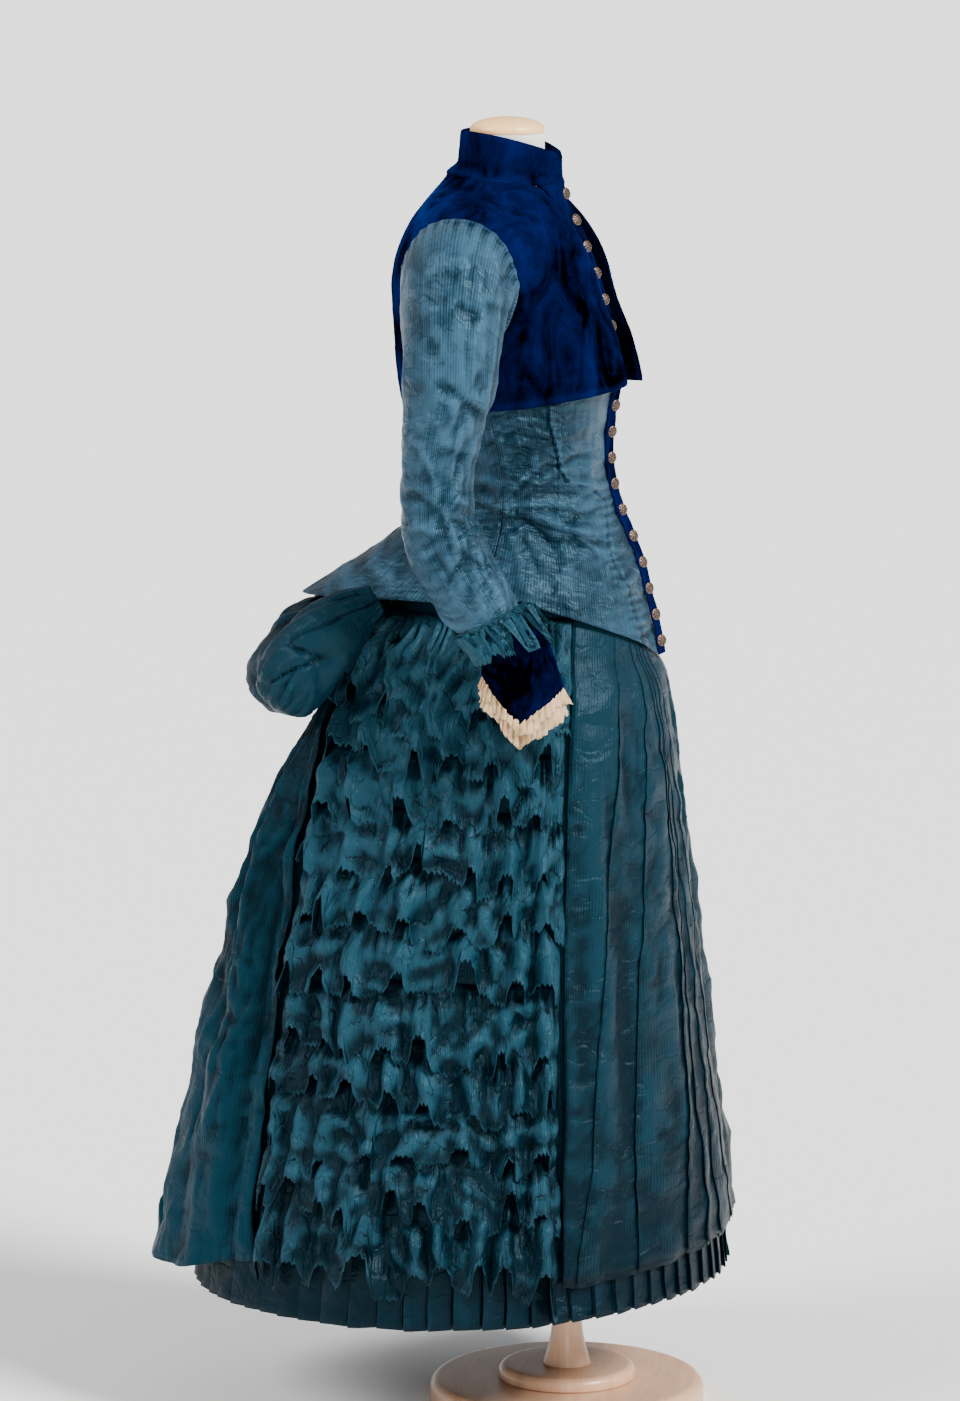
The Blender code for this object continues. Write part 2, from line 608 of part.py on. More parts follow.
def make_puff():
    """The puff over the bustle: one wide gathered sheet and two side loops."""
    outline = np.array(PUFF_OUTLINE)
    path = curve_through(np.column_stack([steps(0.0, 1.0, len(outline)), outline]))
    shares = steps(-1.0, 1.0, 4 * PUFF_FOLDS + 1)
    gathers = np.cos(math.pi * PUFF_FOLDS * shares)
    rows = []
    for s in steps(0.0, 1.0, len(outline)):
        away = path(np.full(shares.shape, s)) - PUFF_MIDDLE
        reach = np.linalg.norm(away, axis=1, keepdims=True)
        taper = (1 - PUFF_TAPER * np.abs(shares) ** 3)[:, None]
        fullness = PUFF_GATHER * math.sin(math.pi * s) * gathers[:, None]
        profile = PUFF_MIDDLE + away * taper + away / reach * fullness
        spread = PUFF_TOP_SHARE + (1 - PUFF_TOP_SHARE) * min(1.0, 3.0 * s)
        rows.append(np.column_stack([PUFF_HALF_WIDTH * spread * shares, profile]))
    wall("puff_middle", np.stack(rows), SILK, "silk", (0.0, 0.270, 0.915))
    table = np.array(LOOP_SECTIONS)
    turn = np.arange(14) * 2 * math.pi / 14
    middle = table[:, :3]
    axis = np.gradient(middle, axis=0)
    axis /= np.linalg.norm(axis, axis=1, keepdims=True)
    rings = []
    for centre, direction, (half_across, half_along) in zip(middle, axis, table[:, 3:]):
        side = np.array([1.0, 0.0, 0.0]) - direction * direction[0]
        side /= np.linalg.norm(side)
        up = np.cross(direction, side)
        rings.append(
            centre
            + half_across * np.cos(turn)[:, None] * side
            + half_along * np.sin(turn)[:, None] * up
        )
    grid = np.stack(rings)
    inside = np.repeat(middle[:, None, :], len(turn), 1)
    cup("puff_loop_left", grid, SILK, "silk", inside)
    cup("puff_loop_right", mirrored(grid), SILK, "silk", mirrored(inside))


# ---------------------------------------------------------------- the bodice
def bodice_hem(turn):
    """The basque: a long point in front, level over the hips and the back."""
    rise = (BASQUE_SIDE - BASQUE_POINT) * np.clip(turn / 1.35, 0, 1) ** 0.85
    dip = (BASQUE_SIDE - BASQUE_BACK) * np.clip((turn - 2.2) / 0.9, 0, 1)
    return BASQUE_POINT + rise - dip


def make_bodice():
    """The silk of the bodice, from the basque's edge to under the jacket."""
    for side, sign in (("left", 1), ("right", -1)):
        for name, first, last, count in (
            ("bodice_front", 0.035, SIDE_SEAM - SEAM_GAP / 0.11, 11),
            ("bodice_back", SIDE_SEAM + SEAM_GAP / 0.11, math.pi - SEAM_GAP / 0.17, 13),
        ):
            turn = steps(first, last, count)
            low = bodice_hem(turn)
            rows = [BODICE(turn, low), BODICE(turn, 0.5 * (low + BODICE_LEVELS[0]))]
            rows += [BODICE(turn, level) for level in BODICE_LEVELS]
            grid = np.stack(rows)
            grid = mirrored(grid) if sign < 0 else grid
            inside = np.zeros_like(grid)
            inside[..., 1] = 0.06
            inside[..., 2] = grid[..., 2] - 0.05
            wall(f"{name}_{side}", grid, SILK, "silk", inside)


def collar_seam(turn):
    """Height of the seam between collar and jacket."""
    return JACKET_TOP + 0.004 - 0.006 * np.cos(turn)


def armhole_edge(height):
    """Half the armhole's width fore and aft at a height; 0 outside it."""
    rise = (height - ARMHOLE_HEIGHT) / ARMHOLE_HALF_HEIGHT
    return ARMHOLE_HALF_WIDTH * np.sqrt(np.clip(1 - rise**2, 0, None))


JACKET_ROWS = np.array(
    [0.0, 0.14, 0.247, 0.262, 0.33, 0.46, 0.61, 0.74, 0.80, 0.836, 0.852, 0.925, 1.0]
)


def jacket_stand(turn, height, free):
    """The jacket lies close, and stands off the chest at its front edge."""
    loose = np.clip((1.44 - height) / 0.21, 0, 1) * np.clip(1 - np.abs(turn) / 0.9, 0, 1)
    close = np.clip((height - 1.415) / 0.045, 0, 1)
    return JACKET_STAND + (JACKET_NECK_STAND - JACKET_STAND) * close + free * loose


def jacket_edge(height):
    """How far from the middle each front's edge lies."""
    return 0.020 + 0.15 * np.clip(height - 1.23, 0, None)


def armhole_side(height, way):
    """The angle of the armhole's edge at a height, or of the side seam below
    it and of the shoulder seam above it. way is -1 for a front, 1 for a back."""
    half = armhole_edge(height)
    back = ARMHOLE_BACK + way * (half + 0.0008)
    seam = SIDE_SEAM + way * SEAM_GAP / 0.07
    return np.where(half > 0, turn_at(BODICE_SECTIONS, height, back), seam)


def make_jacket():
    """The velvet jacket: two fronts that hang open, and a back."""
    share = steps(0.0, 1.0, 9)
    low = JACKET_FRONT_LOW - JACKET_FRONT_DIP * np.minimum(1.0, share * 1.5)
    first = turn_across(BODICE_SECTIONS, JACKET_TOP, jacket_edge(JACKET_TOP))
    top = collar_seam(first + (SIDE_SEAM - first) * share) - 0.0010
    height = low + JACKET_ROWS[:, None] * (top - low)
    edge = turn_across(BODICE_SECTIONS, height, jacket_edge(height))
    turn = edge + (armhole_side(height, -1) - edge) * share
    for side, sign in (("left", 1), ("right", -1)):
        grid = BODICE(turn, height, jacket_stand(turn, height, JACKET_FREE[side]))
        grid = mirrored(grid) if sign < 0 else grid
        wall(f"jacket_front_{side}", grid, VELVET, "velvet", core_of(grid))

    share = steps(-1.0, 1.0, 13)
    low = JACKET_BACK_LOW + JACKET_BACK_LIFT * np.abs(share)
    top = collar_seam(math.pi - 1.4 * np.abs(share)) - 0.0010
    height = low + JACKET_ROWS[:, None] * (top - low)
    turn = math.pi + (math.pi - armhole_side(height, 1)) * share
    grid = BODICE(turn, height, jacket_stand(turn, height, 0.0))
    wall("jacket_back", grid, VELVET, "velvet", core_of(grid))


def core_of(grid):
    """Points inside the chest, level with each point of a grid on it."""
    core = np.zeros_like(grid)
    core[..., 1] = 0.08
    core[..., 2] = np.minimum(grid[..., 2], 1.36)
    return core


def vest_surface(height, across, stand):
    """The vest stands forward towards the middle, where its edges lap."""
    turn = turn_across(BODICE_SECTIONS, height, across)
    ridge = VEST_RIDGE * np.clip(1 - np.abs(across - VEST_LAP) / VEST_RIDGE_WIDTH, 0, 1)
    below_neck = np.clip((1.455 - height) / 0.05, 0, 1)
    return BODICE(turn, height, stand + ridge * below_neck)


def make_vest():
    """The velvet vest between the jacket's fronts. It runs on below them as
    a narrow band to the point of the basque; the right side laps the left."""
    heights = np.array(VEST_LEVELS)
    under_jacket = jacket_edge(heights) + 0.012
    beside_jacket = jacket_edge(heights) - 0.0014
    rising = np.clip((heights - 1.39) / 0.025, 0, 1)
    wide = under_jacket + (beside_jacket - under_jacket) * rising
    width = np.where(heights < 1.24, 0.0150, wide)
    for side, sign in (("right", -1), ("left", 1)):
        shares = np.array([0.0, 0.22, 0.5, 1.0])
        first = VEST_LAP if side == "right" else VEST_LAP + 0.0016
        across = first + (sign * width[:, None] - first) * shares
        grid = vest_surface(heights[:, None], across, VEST_STAND)
        wall(f"vest_{side}", grid, VELVET, "velvet", (0.0, 0.10, 1.2))


def make_collar():
    """A standing collar, higher behind, open in front with rounded corners."""
    table = curve_through(COLLAR_SECTIONS)
    turn = steps(0.10, 2 * math.pi - 0.02, 25)
    seam = collar_seam(turn)
    to_front = np.minimum(turn, 2 * math.pi - turn)
    corner = COLLAR_ROUNDING * np.exp(-((to_front - 0.02) / 0.16) ** 2)
    behind = 0.5 - 0.5 * np.cos(turn)
    top = COLLAR_FRONT + (COLLAR_BACK - COLLAR_FRONT) * behind - corner
    rows = [BODICE(turn, seam, JACKET_NECK_STAND)]
    rows[0][:, 2] = seam
    for s in (0.0, 1.0):
        front, back, widest, half_width = table(np.array(s))
        depth = np.where(np.cos(turn) > 0, widest - front, back - widest)
        height = seam + (0.3 + 0.7 * s) * (top - seam)
        ring = [half_width * np.sin(turn), widest - depth * np.cos(turn), height]
        rows.append(np.stack(ring, -1))
    wall("collar", np.stack(rows), VELVET, "velvet", (0.0, 0.07, 1.49))


def make_buttons():
    """Domed metal buttons down the edge of the right front."""
    profile = [(0.96, 0.0), (1.0, 0.35), (0.52, 1.0)]
    angle = np.arange(8) * 2 * math.pi / 8
    levels = np.array(VEST_LEVELS)
    line = vest_surface(levels, np.full(levels.shape, BUTTON_ACROSS), VEST_STAND)
    beside = vest_surface(levels, np.full(levels.shape, BUTTON_ACROSS + 0.004), VEST_STAND)
    for number, height in enumerate(steps(BUTTON_HIGHEST, BUTTON_LOWEST, BUTTON_COUNT)):
        k = int(np.clip(np.searchsorted(levels, height) - 1, 0, len(levels) - 2))
        share = (height - levels[k]) / (levels[k + 1] - levels[k])
        centre = line[k] + share * (line[k + 1] - line[k])
        side = beside[k] - line[k]
        side /= np.linalg.norm(side)
        out = np.cross(side, line[k + 1] - line[k])
        out /= np.linalg.norm(out)
        up = np.cross(out, side)
        rings = [
            centre
            + (BUTTON_SHANK + BUTTON_DEPTH * depth) * out
            + BUTTON_RADIUS * radius * np.cos(angle)[:, None] * side
            + BUTTON_RADIUS * radius * np.sin(angle)[:, None] * up
            for radius, depth in profile
        ]
        solid_of_rings(f"button_{number + 1:02d}", rings, "metal")


# ---------------------------------------------------------------- the sleeves
def tube_ring(row, turn, grow=0.0):
    """A ring about the arm. Angle 0 is outward, then forward, in, back."""
    height, out, back, half_across, half_fore_aft, lean = row
    fore = np.array([0.0, -math.cos(lean), math.sin(lean)])
    across = np.array([1.0, 0.0, 0.0])
    centre = np.array([out, back, height])
    return (
        centre
        + (half_across + grow) * np.cos(turn)[:, None] * across
        + (half_fore_aft + grow) * np.sin(turn)[:, None] * fore
    )


def armhole_ring(turn):
    """The sleeve's upper edge, which laps a little over the armhole's edge,
    and the ring a little further out from the jacket."""
    back = ARMHOLE_BACK - (ARMHOLE_HALF_WIDTH + ARMHOLE_LAP) * np.sin(turn)
    height = ARMHOLE_HEIGHT + (ARMHOLE_HALF_HEIGHT + ARMHOLE_LAP) * np.cos(turn)
    around = turn_at(BODICE_SECTIONS, height, back)
    edge = BODICE(around, height, JACKET_STAND + SLEEVE_HEAD_GAP)
    return edge, BODICE(around, height, JACKET_STAND + SLEEVE_HEAD_GAP + SLEEVE_HEAD_RISE)


def bent(start, leave, arrive, end, s):
    """A point of the curve that leaves start and arrives at end."""
    return (
        (1 - s) ** 3 * start + 3 * (1 - s) ** 2 * s * leave
        + 3 * (1 - s) * s**2 * arrive + s**3 * end
    )


def tube(name, rings, thickness, material, sign):
    """A closed tube of cloth through rings, mirrored for the right arm."""
    grid = np.stack(rings)
    middle = np.repeat(grid.mean(1, keepdims=True), grid.shape[1], 1)
    if sign < 0:
        grid, middle = mirrored(grid), mirrored(middle)
    wall(name, grid, thickness, material, middle, closed=True)


def make_sleeve(side, sign):
    turn = np.arange(16) * 2 * math.pi / 16
    upper = (0.5 + 0.5 * np.cos(turn))[:, None]
    edge, start = armhole_ring(turn)
    end = tube_ring(SLEEVE_SECTIONS[0], turn)
    leave = start + np.array([1.0, 0.0, 0.06]) * (0.010 + 0.056 * upper)
    arrive = end + np.array([0.0, 0.0, 1.0]) * (0.006 + 0.098 * upper)
    rings = [edge]
    rings += [bent(start, leave, arrive, end, s) for s in (0.0, 0.18, 0.42, 0.70, 1.0)]
    rings += [tube_ring(row, turn) for row in SLEEVE_SECTIONS[1:]]
    tube(f"sleeve_{side}", rings, SILK, "silk", sign)


def make_sleeve_ruffle(side, sign):
    """The pinked ruffle that circles the sleeve above the cuff."""
    turn = np.arange(3 * WRIST_WAVES) * 2 * math.pi / (3 * WRIST_WAVES)
    rings = []
    for row, depth in zip(SLEEVE_RUFFLE_SECTIONS, (0.0, 0.0020, 0.0035)):
        ring = tube_ring(row, turn)
        outward = ring - ring.mean(0)
        outward /= np.linalg.norm(outward, axis=1, keepdims=True)
        rings.append(ring + outward * depth * np.cos(turn * WRIST_WAVES)[:, None])
    tube(f"sleeve_ruffle_{side}", rings, SILK, "silk", sign)


def cuff_point(turn):
    """How far the cuff's edge hangs below a level ring: a point outside."""
    return CUFF_POINT * np.where(np.cos(turn) > 0, 1 - np.abs(np.sin(turn)), 0.0)


def make_cuff(side, sign):
    turn = np.arange(16) * 2 * math.pi / 16
    rings = []
    for s, row in zip((0.0, 0.5, 1.0), CUFF_SECTIONS):
        ring = tube_ring(row, turn)
        ring[:, 2] -= s * cuff_point(turn)
        rings.append(ring)
    tube(f"cuff_{side}", rings, VELVET, "velvet", sign)

    turn = np.arange(4 * WRIST_WAVES) * 2 * math.pi / (4 * WRIST_WAVES)
    rings = []
    for grow, wave, drop in ((-0.0064, 0.0, -0.006), (0.0010, 0.0020, FRILL_DROP)):
        ring = tube_ring(CUFF_SECTIONS[-1], turn, grow)
        outward = ring - ring.mean(0)
        outward /= np.linalg.norm(outward, axis=1, keepdims=True)
        ring += outward * wave * np.cos(turn * WRIST_WAVES)[:, None]
        ring[:, 2] -= cuff_point(turn) + drop
        rings.append(ring)
    tube(f"wrist_frill_{side}", rings, FRILL, "frill", sign)


# ---------------------------------------------------------------- the whole
def make_materials():
    for name, (colour, roughness, metallic) in MATERIALS.items():
        material = bpy.data.materials.new(name)
        material.use_nodes = True
        shader = material.node_tree.nodes["Principled BSDF"]
        shader.inputs["Base Color"].default_value = colour
        shader.inputs["Roughness"].default_value = roughness
        shader.inputs["Metallic"].default_value = metallic


def main():
    for old in list(bpy.data.objects):
        bpy.data.objects.remove(old)
    make_materials()
    make_stand()
    make_form()
    make_underskirt()
    make_flounce()
    make_front_panel()
    make_back_drape()
    make_puff()
    make_bodice()
    make_jacket()
    make_vest()
    make_collar()
    make_buttons()
    for side, sign in (("left", 1), ("right", -1)):
        make_side_panel(side, sign)
        make_hip_drape(side, sign)
        make_sleeve(side, sign)
        make_sleeve_ruffle(side, sign)
        make_cuff(side, sign)


main()
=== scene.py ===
# %% [markdown]
# # A bustle dress on its dress form
#
# The dress is a two-piece costume of about 1885. A tight bodice with a short
# velvet jacket and vest sits over a skirt that is flat and pleated in front,
# ruffled at the sides and puffed up over a bustle behind. It stands on a
# limbless form with a turned wooden pole and base. The lengths are metres, +Z
# is up, the wearer faces -Y, and the wearer's left is +X.
#
# Every piece of cloth here is one idea used again and again: a surface worked
# out from two numbers, one across the cloth and one down it. A modelled block
# could be draped by simulation instead, but pressed pleats, pinked edges and
# corset-tight silk hold shapes that a simulation would wash out, so each is
# written down as a formula.

import math

import bpy
import numpy as np
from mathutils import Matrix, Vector


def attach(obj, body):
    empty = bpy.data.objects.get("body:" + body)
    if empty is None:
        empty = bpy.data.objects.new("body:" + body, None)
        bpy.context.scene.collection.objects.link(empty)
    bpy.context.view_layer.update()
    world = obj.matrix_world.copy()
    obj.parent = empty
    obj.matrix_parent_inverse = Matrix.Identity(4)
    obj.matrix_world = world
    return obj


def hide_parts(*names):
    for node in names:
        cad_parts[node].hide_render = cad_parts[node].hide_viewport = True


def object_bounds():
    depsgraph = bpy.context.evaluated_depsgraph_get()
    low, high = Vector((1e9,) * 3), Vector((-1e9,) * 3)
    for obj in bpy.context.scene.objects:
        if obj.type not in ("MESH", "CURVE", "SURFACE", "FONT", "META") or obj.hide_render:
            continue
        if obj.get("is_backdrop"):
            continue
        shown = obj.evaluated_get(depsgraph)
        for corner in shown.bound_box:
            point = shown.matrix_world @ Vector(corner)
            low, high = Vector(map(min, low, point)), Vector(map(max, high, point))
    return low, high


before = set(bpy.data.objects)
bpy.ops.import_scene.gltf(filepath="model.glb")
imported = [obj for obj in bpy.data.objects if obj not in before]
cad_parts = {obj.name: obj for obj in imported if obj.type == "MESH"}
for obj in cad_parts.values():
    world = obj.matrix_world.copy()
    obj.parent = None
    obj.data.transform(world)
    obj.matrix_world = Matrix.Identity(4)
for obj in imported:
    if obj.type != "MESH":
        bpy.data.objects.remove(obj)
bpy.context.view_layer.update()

# %% [markdown]
# ## Camera, floor and light
#
# The camera stands 7.2 m away on the wearer's right, a little above eye level,
# with a long lens, so that the dress is seen almost side-on with little
# perspective. Two wide soft suns, one from each side and high up, light it
# like a studio with a large lamp on each side, because silk shows its creases
# only where light rakes across it. A sun's light doesn't weaken with distance,
# so the wide floor is one even tone right to the edge of the picture. A weak
# lamp near the floor reaches under the ruffles and between the pleats.

# %% Helpers for objects and materials
def add_object(name, data):
    """An object in the scene that shows a mesh, a lamp or a camera."""
    made = bpy.data.objects.new(name, data)
    bpy.context.scene.collection.objects.link(made)
    return made


def fill(tree, node, inputs):
    """Gives each socket of a node a value or another node's output."""
    for key, value in inputs.items():
        if isinstance(value, bpy.types.NodeSocket):
            tree.links.new(value, node.inputs[key])
        else:
            node.inputs[key].default_value = value


def new_material(name):
    """A material, its node tree and its Principled shader."""
    material = bpy.data.materials.new(name)
    material.use_nodes = True
    tree = material.node_tree
    return material, tree, tree.nodes["Principled BSDF"]


# %% Camera, floor and light
CAMERA_PLACE = Vector((-7.160, -0.753, 2.050))
CAMERA_AIM = Vector((0.0, 0.105, 0.849))
CAMERA_LENS = 159.1            # millimetres, on a frame 36 mm along its longer side
FLOOR_RADIUS = 60.0
FLOOR_DROP = 0.0004            # just under the base, so that the two don't flicker


def aim(thing, place, target):
    """Puts a camera or lamp at a place, turned to look at a target."""
    thing.location = place
    thing.rotation_euler = (Vector(target) - Vector(place)).to_track_quat("-Z", "Y").to_euler()


def add_light(name, kind, place, target, size, strength, colour):
    """A soft sun, whose size is an angle in radians and strength is W/m2, or a
    square lamp, whose size is metres and strength is watts."""
    lamp = bpy.data.lights.new(name, kind)
    if kind == "SUN":
        lamp.angle = size
    else:
        lamp.shape = "SQUARE"
        lamp.size = size
    lamp.energy = strength
    lamp.color = colour
    aim(add_object(name, lamp), place, target)


camera = add_object("camera", bpy.data.cameras.new("camera"))
camera.data.lens = CAMERA_LENS
camera.data.sensor_width = 36.0
camera.data.clip_end = 200.0
aim(camera, CAMERA_PLACE, CAMERA_AIM)
bpy.context.scene.camera = camera

add_light("front_sun", "SUN", (-2.0, -3.4, 4.4), (0.0, 0.1, 1.0), 0.30, 6.6, (1.0, 0.985, 0.96))
add_light("back_sun", "SUN", (-2.3, 3.6, 4.4), (0.0, 0.1, 1.0), 0.40, 2.8, (1.0, 0.99, 0.97))
add_light("side_lamp", "AREA", (-4.0, -0.6, 0.5), (0.0, 0.0, 0.1), 1.2, 24, (1.0, 0.98, 0.95))

world = bpy.data.worlds.new("studio")
bpy.context.scene.world = world
world.use_nodes = True
sky = {"Color": (0.80, 0.81, 0.83, 1.0), "Strength": 0.62}
fill(world.node_tree, world.node_tree.nodes["Background"], sky)

turn = np.linspace(0.0, 2 * math.pi, 96, endpoint=False)
floor_mesh = bpy.data.meshes.new("floor")
ring = np.stack([FLOOR_RADIUS * np.cos(turn), FLOOR_RADIUS * np.sin(turn), 0 * turn - FLOOR_DROP], -1)
floor_mesh.from_pydata(ring.tolist(), [], [list(range(len(turn)))])
floor = add_object("floor", floor_mesh)
floor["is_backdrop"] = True
floor_paint, tree, shader = new_material("floor_paint")
fill(tree, shader, {"Base Color": (0.92, 0.92, 0.92, 1), "Roughness": 0.85})
floor_mesh.materials.append(floor_paint)
print("camera", round((CAMERA_PLACE - CAMERA_AIM).length, 2), "m from the dress")

# %% [markdown]
# ## The tools of a pattern cutter
#
# A dressmaker works from sections: the girth of the figure at the neck, bust,
# waist and hip. The table below holds such sections, each two half ellipses
# that share a width, and a smooth curve through the rows gives every girth
# between. A piece of cloth is then a grid of points on that surface, some
# distance outside it. Where it is gathered, pleated or creased, the points
# move along the surface's own normal.

# %% Small helpers
SIDES = (("left", 1), ("right", -1))


def ease(low, high, x):
    """0 below low, 1 above high, and 3s^2 - 2s^3 between."""
    s = np.clip((x - low) / (high - low), 0, 1)
    return s * s * (3 - 2 * s)


def bell(x, power=2):
    """exp(-|x|^power): 1 in the middle, falling away to both sides."""
    return np.exp(-np.abs(x) ** power)


def mix(first, last, share):
    """Part of the way between two values: first + (last - first) share."""
    return first + (last - first) * share


def unit(vectors):
    """Each vector divided by its own length."""
    return vectors / np.linalg.norm(vectors, axis=-1, keepdims=True)


def steps(count):
    """Shares from 0 to 1, one under another."""
    return np.linspace(0, 1, count)[:, None]


def whole_turn(count):
    """Angles round a whole turn, without the last, which is the first again."""
    return np.linspace(0, 2 * math.pi, count, endpoint=False)


def sided(grid, sign):
    """The grid as it is on the wearer's left, where sign is 1, and its mirror
    image on the right, where sign is -1."""
    return grid * np.array([sign, 1.0, 1.0])


def core(grid, back, height):
    """Points in the middle plane, one for each point of a grid, so far back and
    so high. What faces away from them faces out."""
    points = np.zeros_like(grid)
    points[..., 1], points[..., 2] = back, height
    return points


print("half a bell at", round(math.log(2) ** 0.5, 3), "and halfway along an ease:", float(ease(0, 1, 0.5)))

# %% Curves and sections
def curve_through(rows):
    """A function of the first column that runs smoothly through the others:
    a cubic between each two rows whose slopes are the neighbours' differences."""
    table = np.array(rows, float)
    table = table[np.argsort(table[:, 0])]
    x, y = table[:, 0], table[:, 1:]
    slope = np.gradient(y, x, axis=0)

    def value(at):
        """The other columns where the first is so much, held to the table."""
        at = np.clip(np.asarray(at, float), x[0], x[-1])
        i = np.clip(np.searchsorted(x, at) - 1, 0, len(x) - 2)
        step = (x[i + 1] - x[i])[..., None]
        s = (at - x[i])[..., None] / step
        found = (
            (2 * s**3 - 3 * s**2 + 1) * y[i] + (s**3 - 2 * s**2 + s) * step * slope[i]
            + (3 * s**2 - 2 * s**3) * y[i + 1] + (s**3 - s**2) * step * slope[i + 1]
        )
        return found[..., 0] if y.shape[1] == 1 else found

    return value


def even_curve(rows):
    """The same with the rows spaced evenly from 0 to 1."""
    return curve_through(np.column_stack([np.linspace(0, 1, len(rows)), rows]))


def sections(rows):
    """A function (turn, height, out) of points: x = half_width sin(turn), and
    y = widest - depth cos(turn), moved out along the ellipse's own normal.
    Turn 0 is the front, a quarter turn the wearer's left, a half turn the back."""
    table = curve_through(rows)

    def point(turn, height, out=0.0):
        """Points x, y, z for arrays of turns, heights and distances out."""
        turn, height, out = np.broadcast_arrays(
            np.asarray(turn, float), np.asarray(height, float), np.asarray(out, float)
        )
        front, back, widest, half_width = np.moveaxis(table(height), -1, 0)
        depth = np.where(np.cos(turn) > 0, widest - front, back - widest)
        normal = unit(np.stack([np.sin(turn) * depth, -np.cos(turn) * half_width], -1))
        across = half_width * np.sin(turn) + out * normal[..., 0]
        along = widest - depth * np.cos(turn) + out * normal[..., 1]
        return np.stack([across, along, height], -1)

    return point


def turn_at(rows, height, how_far_back):
    """The angle, on the wearer's left, where a section is so far back."""
    front, back, widest, _ = np.moveaxis(curve_through(rows)(height), -1, 0)
    depth = np.where(how_far_back < widest, widest - front, back - widest)
    return np.arccos(np.clip((widest - how_far_back) / depth, -1.0, 1.0))


def turn_across(rows, height, across):
    """The angle, in the front, where a section is so far to the wearer's left."""
    return np.arcsin(np.clip(across / curve_through(rows)(height)[..., 3], -1.0, 1.0))


# Columns: height, front, back, how far back it is widest, half its width.
SKIRT_SECTIONS = (
    (0.140, -0.186, 0.440, 0.090, 0.283),
    (0.300, -0.174, 0.418, 0.090, 0.268),
    (0.450, -0.157, 0.392, 0.088, 0.252),
    (0.600, -0.140, 0.362, 0.085, 0.235),
    (0.700, -0.128, 0.338, 0.080, 0.221),
    (0.800, -0.116, 0.298, 0.077, 0.202),
    (0.870, -0.106, 0.262, 0.074, 0.179),
    (0.920, -0.0955, 0.234, 0.070, 0.158),
    (0.960, -0.085, 0.212, 0.067, 0.140),
    (1.000, -0.074, 0.188, 0.063, 0.121),
    (1.040, -0.059, 0.165, 0.059, 0.106),
    (1.090, -0.043, 0.144, 0.055, 0.098),
)
BODICE_SECTIONS = (
    (0.895, -0.107, 0.420, 0.066, 0.170),
    (0.930, -0.103, 0.380, 0.066, 0.163),
    (0.960, -0.096, 0.338, 0.065, 0.155),
    (0.985, -0.0895, 0.302, 0.064, 0.147),
    (1.019, -0.081, 0.250, 0.060, 0.133),
    (1.054, -0.068, 0.200, 0.056, 0.119),
    (1.080, -0.057, 0.172, 0.055, 0.112),
    (1.110, -0.048, 0.162, 0.055, 0.109),
    (1.145, -0.044, 0.168, 0.058, 0.113),
    (1.187, -0.046, 0.183, 0.064, 0.123),
    (1.226, -0.052, 0.192, 0.073, 0.134),
    (1.260, -0.050, 0.196, 0.082, 0.142),
    (1.290, -0.045, 0.198, 0.090, 0.148),
    (1.320, -0.037, 0.200, 0.096, 0.153),
    (1.350, -0.028, 0.200, 0.100, 0.157),
    (1.380, -0.017, 0.195, 0.102, 0.158),
    (1.406, -0.007, 0.185, 0.102, 0.151),
    (1.425, 0.000, 0.174, 0.099, 0.138),
    (1.440, 0.006, 0.163, 0.094, 0.118),
    (1.452, 0.009, 0.154, 0.088, 0.093),
    (1.462, 0.010, 0.146, 0.081, 0.071),
    (1.470, 0.010, 0.140, 0.076, 0.058),
)
SKIRT = sections(SKIRT_SECTIONS)
BODICE = sections(BODICE_SECTIONS)
SIDE_SEAM = math.pi / 2 + 0.10
hem_ring = SKIRT(np.linspace(0, 2 * math.pi, 200), 0.153)
print("hem girth", round(float(np.linalg.norm(np.diff(hem_ring, axis=0), axis=1).sum()), 2), "m")

# %% [markdown]
# ## Wrinkles
#
# Silk that has been sewn, worn and stored keeps three kinds of mark. Broad
# soft hills come from the way it hangs. A net of sharp little facets comes
# from crumpling, because taffeta is stiff. And a few long creases come from
# strain, at the elbow or out from a dart. The first two are noise, worked out
# from random numbers with a fixed seed, so that every run gives the same
# cloth. The long creases are listed one by one.

# %% Hills, crumples and creases
NET_CELLS = 60                 # the net of random values repeats after so many
NET_START = 900.0              # keeps both places on the net above 0


def hills(x, y, size, seed):
    """Smooth random hills, from -1 to 1, about a given size across: random
    values at the corners of a square net, blended with the ease 3s^2 - 2s^3."""
    corner = np.random.default_rng(seed).uniform(-1, 1, (NET_CELLS + 1, NET_CELLS + 1))
    x, y = np.broadcast_arrays(*(np.asarray(place, float) / size + NET_START for place in (x, y)))
    i, j = np.floor(x).astype(int), np.floor(y).astype(int)
    s, t = x - i, y - j
    s, t = s * s * (3 - 2 * s), t * t * (3 - 2 * t)
    i, j = i % NET_CELLS, j % NET_CELLS
    low = corner[i, j] * (1 - s) + corner[i + 1, j] * s
    high = corner[i, j + 1] * (1 - s) + corner[i + 1, j + 1] * s
    return low * (1 - t) + high * t


def zigzag(x):
    """A wave of straight slopes from -1 to 1 with sharp crests, one a unit."""
    return 4 * np.abs(x - np.floor(x + 0.5)) - 1


